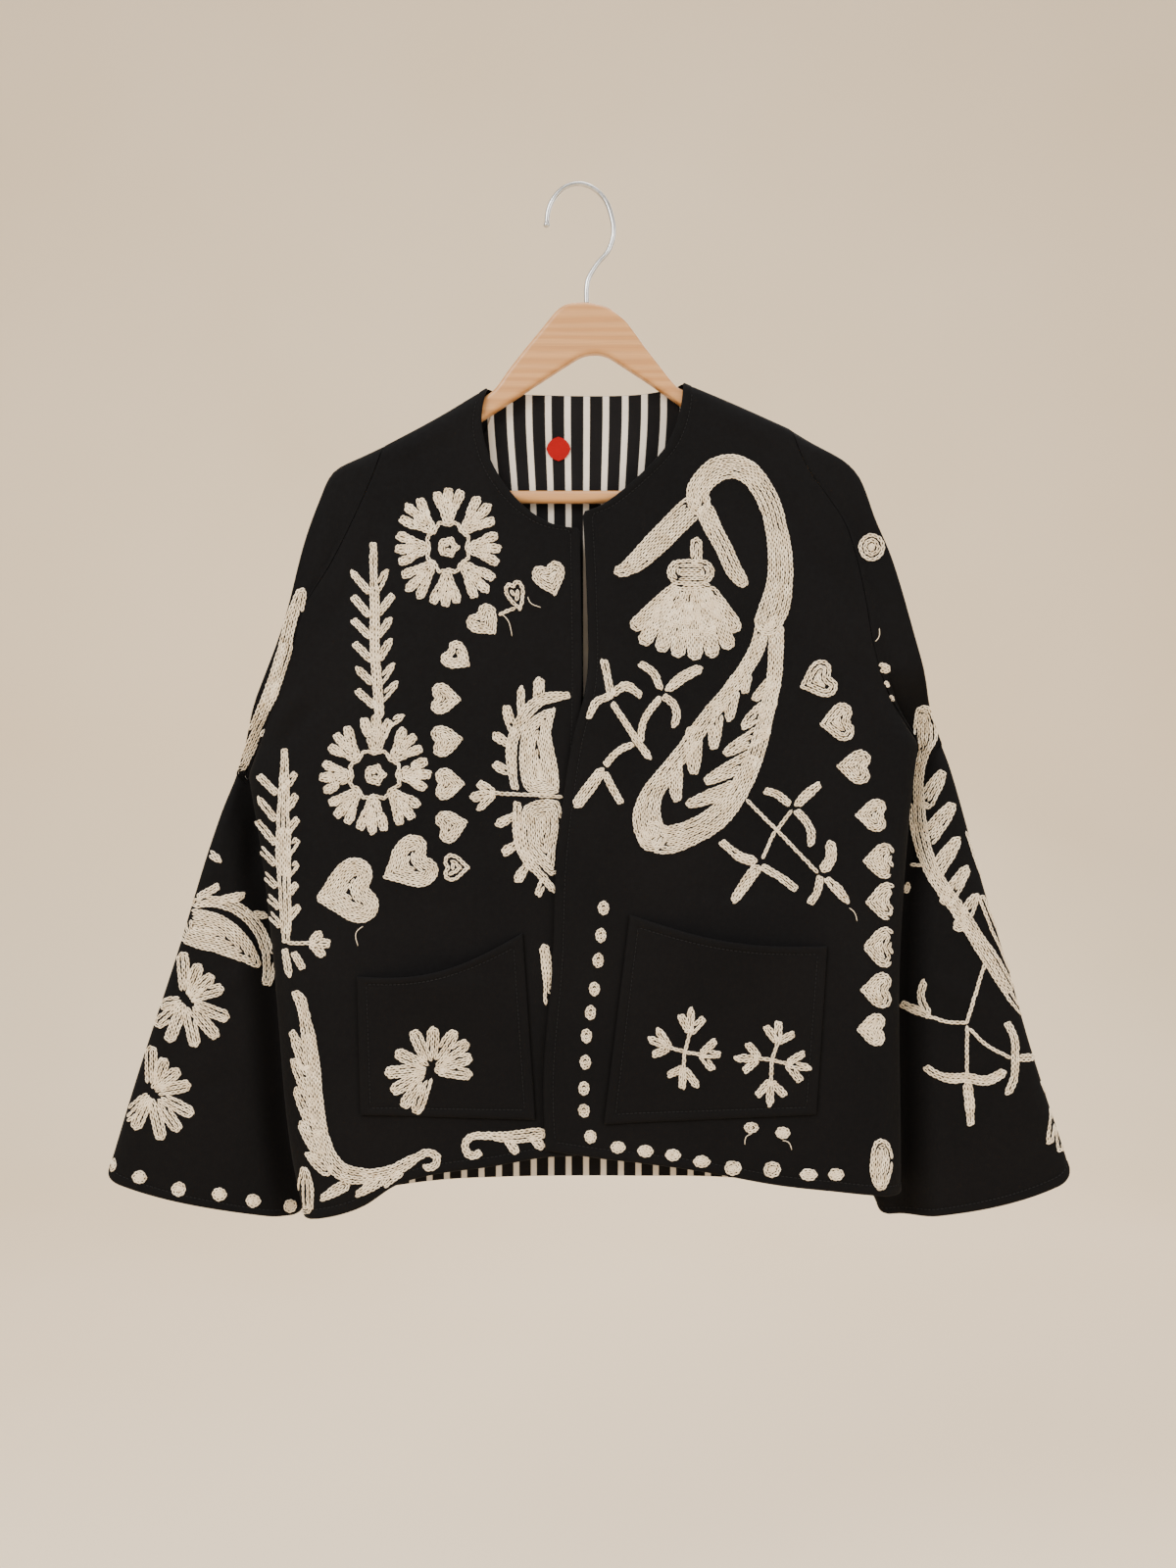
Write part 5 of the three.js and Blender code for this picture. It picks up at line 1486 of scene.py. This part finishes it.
def embroider(trees):
    """Every piece's chain stitches, as one mesh for each piece."""
    rng = np.random.default_rng(STITCH_SEED)
    for target, motifs in MOTIFS.items():
        starts, ends, normals = [], [], []
        for start, end in stitch_places(motif_lines(motifs), motifs.get("limit", NO_LIMIT)):
            first, second = laid(trees, target, start), laid(trees, target, end)
            if first and second:
                starts.append(first[0])
                ends.append(second[0])
                normals.append(first[1] + second[1])
        starts, ends = np.array(starts), np.array(ends)
        count = len(starts)
        step = ends - starts
        pitch = np.linalg.norm(step, axis=1)[:, None, None]
        ahead = unit(step)
        aside = unit(np.cross(ahead, np.array(normals)))
        above = np.cross(aside, ahead)
        starts = starts + aside * rng.normal(0, STITCH_ASIDE, (count, 1))
        half = LOOP_HALF * rng.uniform(0.86, 1.12, (count, 1, 1))
        lift = YARN * rng.uniform(0.75, 1.1, (count, 1, 1))
        shape = LOOP[None] + rng.normal(0, LOOP_UNEVEN, (count, len(LOOP), 3))
        routes = (starts[:, None] + ahead[:, None] * shape[..., :1] * pitch
                  + aside[:, None] * shape[..., 1:2] * half + above[:, None] * shape[..., 2:] * lift)
        radii = YARN * rng.uniform(0.86, 1.1, (count, len(LOOP)))
        vertices, faces = tubes(routes, radii, above[:, None], closed=True)
        tones = np.repeat(np.clip(rng.normal(0.5, TONE_UNEVEN, count), 0, 1), len(LOOP) * TUBE_SIDES)
        yarn_piece(target + "_embroidery", vertices, faces, tones, CREAM_YARN)


def yarn_tails(trees):
    """Loose ends of yarn beside the motifs."""
    routes, outwards = [], []
    for target, start, end, bow in TAILS:
        first, second = laid(trees, target, start), laid(trees, target, end)
        if not (first and second):
            continue
        t = np.linspace(0, 1, 12)[:, None]
        ahead = unit(second[0] - first[0])
        aside = np.cross(ahead, first[1])
        route = mix(first[0], second[0], t) + aside * bow * np.sin(math.pi * t) * (1 - t / 2)
        routes.append(route + first[1] * (0.35 + 0.9 * np.sin(math.pi * t)))
        outwards.append(first[1])
    routes = np.array(routes)
    radii = np.broadcast_to(TAIL_RADIUS * np.array([0.6, *[1] * 10, 0.5]), routes.shape[:2])
    vertices, faces = tubes(routes, radii, np.array(outwards)[:, None])
    yarn_piece("yarn_tails", vertices, faces, np.full(len(vertices), 0.5), CREAM_YARN)


# Topstitching: short black stitches beside the edges
TOPSTITCH = 3.2  # from one stitch to the next
TOPSTITCH_SHARE = 0.74  # of that length, under which the thread shows
THREAD_RADIUS = 0.3
THREAD_LIFT = 0.1
NECK_STITCHED = (0.38, 0.62)  # shares of the back's width between its neck's stitches


def topstitch_lines(nets):
    """Lines on the cloth at HEM_WIDTH from its edges, for each piece."""
    at = HEMMED.index(HEM_WIDTH)
    over = TURNED.index(RIDGE_ROUND) - 1
    lines = {}
    for name, net in nets.items():
        skin = net.moved(CLOTH / 2 + THREAD_LIFT)
        if net.closed:
            lines[name] = [np.concatenate([skin[-1 - at], skin[-1 - at, :1]])]
        elif name.startswith("pocket"):
            rows, columns = skin[at:-at], skin[:, at:-at]
            lines[name] = [columns[at], columns[-1 - at], rows[:, at], rows[:, -1 - at]]
        elif name == "back":
            width = skin.shape[1]
            neck = slice(*(int(share * width) for share in NECK_STITCHED))
            lines[name] = [skin[-1 - at], skin[over, neck]]
        else:
            lines[name] = [skin[over:-at, at], skin[-1 - at, at:-3]]
    return lines


def topstitches(nets):
    routes = []
    for lines in topstitch_lines(nets).values():
        for line in lines:
            whole = along(line)[-1]
            starts = np.arange(TOPSTITCH / 2, whole - TOPSTITCH, TOPSTITCH)
            shares = np.array([0, 0.2, 0.8, 1]) * TOPSTITCH * TOPSTITCH_SHARE
            routes += [sampled(line, start + shares) for start in starts]
    routes = np.array(routes)
    radii = np.broadcast_to(THREAD_RADIUS * np.array([0.25, 1, 1, 0.25]), routes.shape[:2])
    vertices, faces = tubes(routes, radii, np.array([0, -1, 0.05]))
    yarn_piece("topstitching", vertices, faces, np.full(len(vertices), 0.5), BLACK_THREAD)


# The hanger: rounded wood, a turned bar and a bent wire
HANGER_THICK = 12
HANGER_ROUND = 3.2
BAR_RADIUS = 5
BAR_HEIGHT = -242
BAR_ENDS = (-163, 178)
BAR_SIDES = 48
WIRE_RADIUS = 1.9
WIRE_TIP_RADIUS = 2.5
WIRE_SIDES = 20
UNDER_RIDGE = 2.9  # the wood lies this far under the cloth's ridge
ARMS_RIGHT = [
    (5, -91), (-10, -92), (-18, -97), (-30, -112), (-44, -129), (-55, -143), (-66, -159), (-76, -166),
    (-92, -175), (-110, -181 - UNDER_RIDGE), (-151, -203 - UNDER_RIDGE), (-168, -211.5 - UNDER_RIDGE),
    (-184, -223.5), (-190, -231), (-191, -242), (-186, -251), (-178, -254), (-168, -254), (-163, -250),
    (-163, -234), (-150, -225), (-112, -205), (-72, -180), (-34, -155), (0, -133), (8, -131),
]
ARMS_LEFT = [
    (16, -131), (22, -133), (54, -154), (84, -175), (124, -196), (166, -217), (178, -226),
    (178, -250), (184, -254), (194, -254), (202, -250), (206, -240), (205, -229),
    (198, -218), (184, -203.5 - UNDER_RIDGE), (162, -190 - UNDER_RIDGE), (120, -171 - UNDER_RIDGE),
    (96, -164.5), (84, -160.5), (76, -158.5), (69, -150), (51, -127), (36, -106), (22, -95),
]
HOOK_WAY = [
    (-26, -30), (-25, -20), (-21, -10), (-12, -1), (0, WIRE_RADIUS), (10, -1.5), (19, -10), (24, -22),
    (26, -36), (22, -50), (13, -61), (6.5, -72), (5, -80), (5, -90.7),
]


def rounded(points, step):
    """An outline with its corners eased: even points, each the mean of its neighbours."""
    closed = np.concatenate([points, points[:1]])
    whole = along(closed)[-1]
    even = sampled(closed, np.linspace(0, whole, round(whole / step), endpoint=False))
    for _ in range(5):
        even = (np.roll(even, 1, axis=0) + 2 * even + np.roll(even, -1, axis=0)) / 4
    return even


def hanger_arms():
    """The flat wood: its outline, drawn in towards both faces on a quarter round."""
    points = rounded(np.array(ARMS_RIGHT + ARMS_LEFT, float), 2)
    ahead = np.roll(points, -1, axis=0) - np.roll(points, 1, axis=0)
    inward = unit(quarter_turned(ahead))
    angles = np.linspace(0, math.pi / 2, 7)
    drawn = [(HANGER_ROUND * (1 - math.cos(a)), HANGER_ROUND * (1 - math.sin(a))) for a in angles]
    profile = [(step_in, HANGER_THICK / 2 - down) for step_in, down in drawn]
    profile.append((HANGER_ROUND + 0.8, HANGER_THICK / 2))
    profile = [(step_in, -y) for step_in, y in profile[::-1]] + profile
    layers = []
    for step_in, y in profile:
        flat = points + inward * step_in
        layers.append(np.stack([flat[:, 0], np.full(len(flat), y), flat[:, 1]], axis=1))
    index = np.arange(len(profile) * len(points)).reshape(len(profile), -1)
    around = np.roll(index, -1, axis=1)
    sides = np.stack([index[:-1], around[:-1], around[1:], index[1:]], axis=-1).reshape(-1, 4)
    faces = [*sides[:, ::-1].tolist(), index[0].tolist(), index[-1, ::-1].tolist()]
    return np.concatenate(layers), faces


def hanger_bar():
    """The round bar, its ends eased."""
    first, last = BAR_ENDS[0] + SEAM, BAR_ENDS[1] - SEAM
    places = np.array([first, first + 0.4, first + 1, last - 1, last - 0.4, last])
    route = np.stack([places, np.zeros(6), np.full(6, BAR_HEIGHT)], axis=1)
    radii = BAR_RADIUS - np.array([0.7, 0.2, 0, 0, 0.2, 0.7])
    return tubes(route[None], radii[None], np.array((0, 0, 1)), sides=BAR_SIDES)


def hanger_hook():
    """The wire, with a ball at its tip, down into the wood."""
    way = curve(HOOK_WAY)
    back = unit(way[0] - way[1]) * WIRE_TIP_RADIUS
    way = np.concatenate([[way[0] + back], way])
    whole = along(way)[-1]
    ball = WIRE_TIP_RADIUS * (1 - np.cos(np.linspace(0.12, 2.28, 12)))
    steps = np.concatenate([ball, np.linspace(ball[-1], whole, 120)[1:]])
    from_middle = np.minimum(np.abs(steps - WIRE_TIP_RADIUS), WIRE_TIP_RADIUS)
    radii = np.sqrt(np.maximum(WIRE_TIP_RADIUS**2 - from_middle**2, 0.02))
    radii = np.where(steps > WIRE_TIP_RADIUS, np.maximum(radii, WIRE_RADIUS), radii)
    flat = sampled(way, steps)
    route = np.stack([flat[:, 0], np.zeros(len(flat)), flat[:, 1]], axis=1)
    return tubes(route[None], radii[None], np.array((0, 1, 0)), sides=WIRE_SIDES)


def hanger():
    makers = (
        ("hanger_arms", hanger_arms, WOOD, "pale_wood"),
        ("hanger_bar", hanger_bar, WOOD, "pale_wood"),
        ("hanger_hook", hanger_hook, STEEL, "steel_wire"),
    )
    for node, make, finish, slot in makers:
        piece = mesh_object(node + "_turned", *make())
        piece.data.materials.append(finish)
        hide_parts(node)
        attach(piece, "root")


# Camera and light
LENS = 36


def camera():
    data = bpy.data.cameras.new("camera")
    data.sensor_fit = "VERTICAL"
    data.sensor_height = 36
    data.lens = LENS
    data.clip_start = 0.01
    view = linked("camera", data)
    view.location = Vector(VIEWPOINT) * MM
    view.rotation_euler = (math.pi / 2, 0, 0)
    bpy.context.scene.camera = view


# Lights: name, place, size and power; each one looks at the jacket's middle
LIGHTS = [
    ("key", (-1500, -1900, 900), 1500, 92),
    ("fill", (1900, -1500, 100), 1600, 40),
    ("top", (200, -300, 1900), 1400, 34),
    ("rear", (600, 2000, 700), 1600, 36),
]
LIGHT_TARGET = Vector((0, 0, -450))


def lights():
    for name, place, size, power in LIGHTS:
        data = bpy.data.lights.new(name, "AREA")
        data.shape = "SQUARE"
        data.size = size * MM
        data.energy = power
        light = linked(name, data)
        light.location = Vector(place) * MM
        light.rotation_euler = (LIGHT_TARGET - Vector(place)).to_track_quat("-Z", "Y").to_euler()
    world = bpy.data.worlds.new("studio")
    world.use_nodes = True
    sky = world.node_tree.nodes["Background"]
    sky.inputs["Color"].default_value = (0.96, 0.92, 0.86, 1)
    sky.inputs["Strength"].default_value = 0.75
    bpy.context.scene.world = world


FLOOR = -1250
SWEEP = {"half": 5000, "front": -4000, "back": 2600, "round": 900, "top": 3200}


def stage():
    """A floor that curves up into a backdrop."""
    front, back, radius, top = SWEEP["front"], SWEEP["back"], SWEEP["round"], SWEEP["top"]
    angles = np.linspace(0, math.pi / 2, 25)
    bend = [(back - radius + radius * math.sin(a), FLOOR + radius - radius * math.cos(a)) for a in angles]
    profile = np.array([(front, FLOOR), *bend, (back, top)])
    half = SWEEP["half"]
    vertices = [(x, y, z) for y, z in profile for x in (-half, half)]
    faces = [(2 * i, 2 * i + 1, 2 * i + 3, 2 * i + 2) for i in range(len(profile) - 1)]
    sweep = mesh_object("floor", vertices, faces)
    sweep.data.materials.append(plain("stage_paint", (0.86, 0.70, 0.49), (0.89, 0.73, 0.53), 0.85))


camera()
lights()
stage()
nets = jacket()
trees = {name: skin_tree(net) for name, net in nets.items()}
embroider(trees)
yarn_tails(trees)
topstitches(nets)
hanger()
patch_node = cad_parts["neck_patch"]
patch_node.data.materials.clear()
patch_node.data.materials.append(RED)
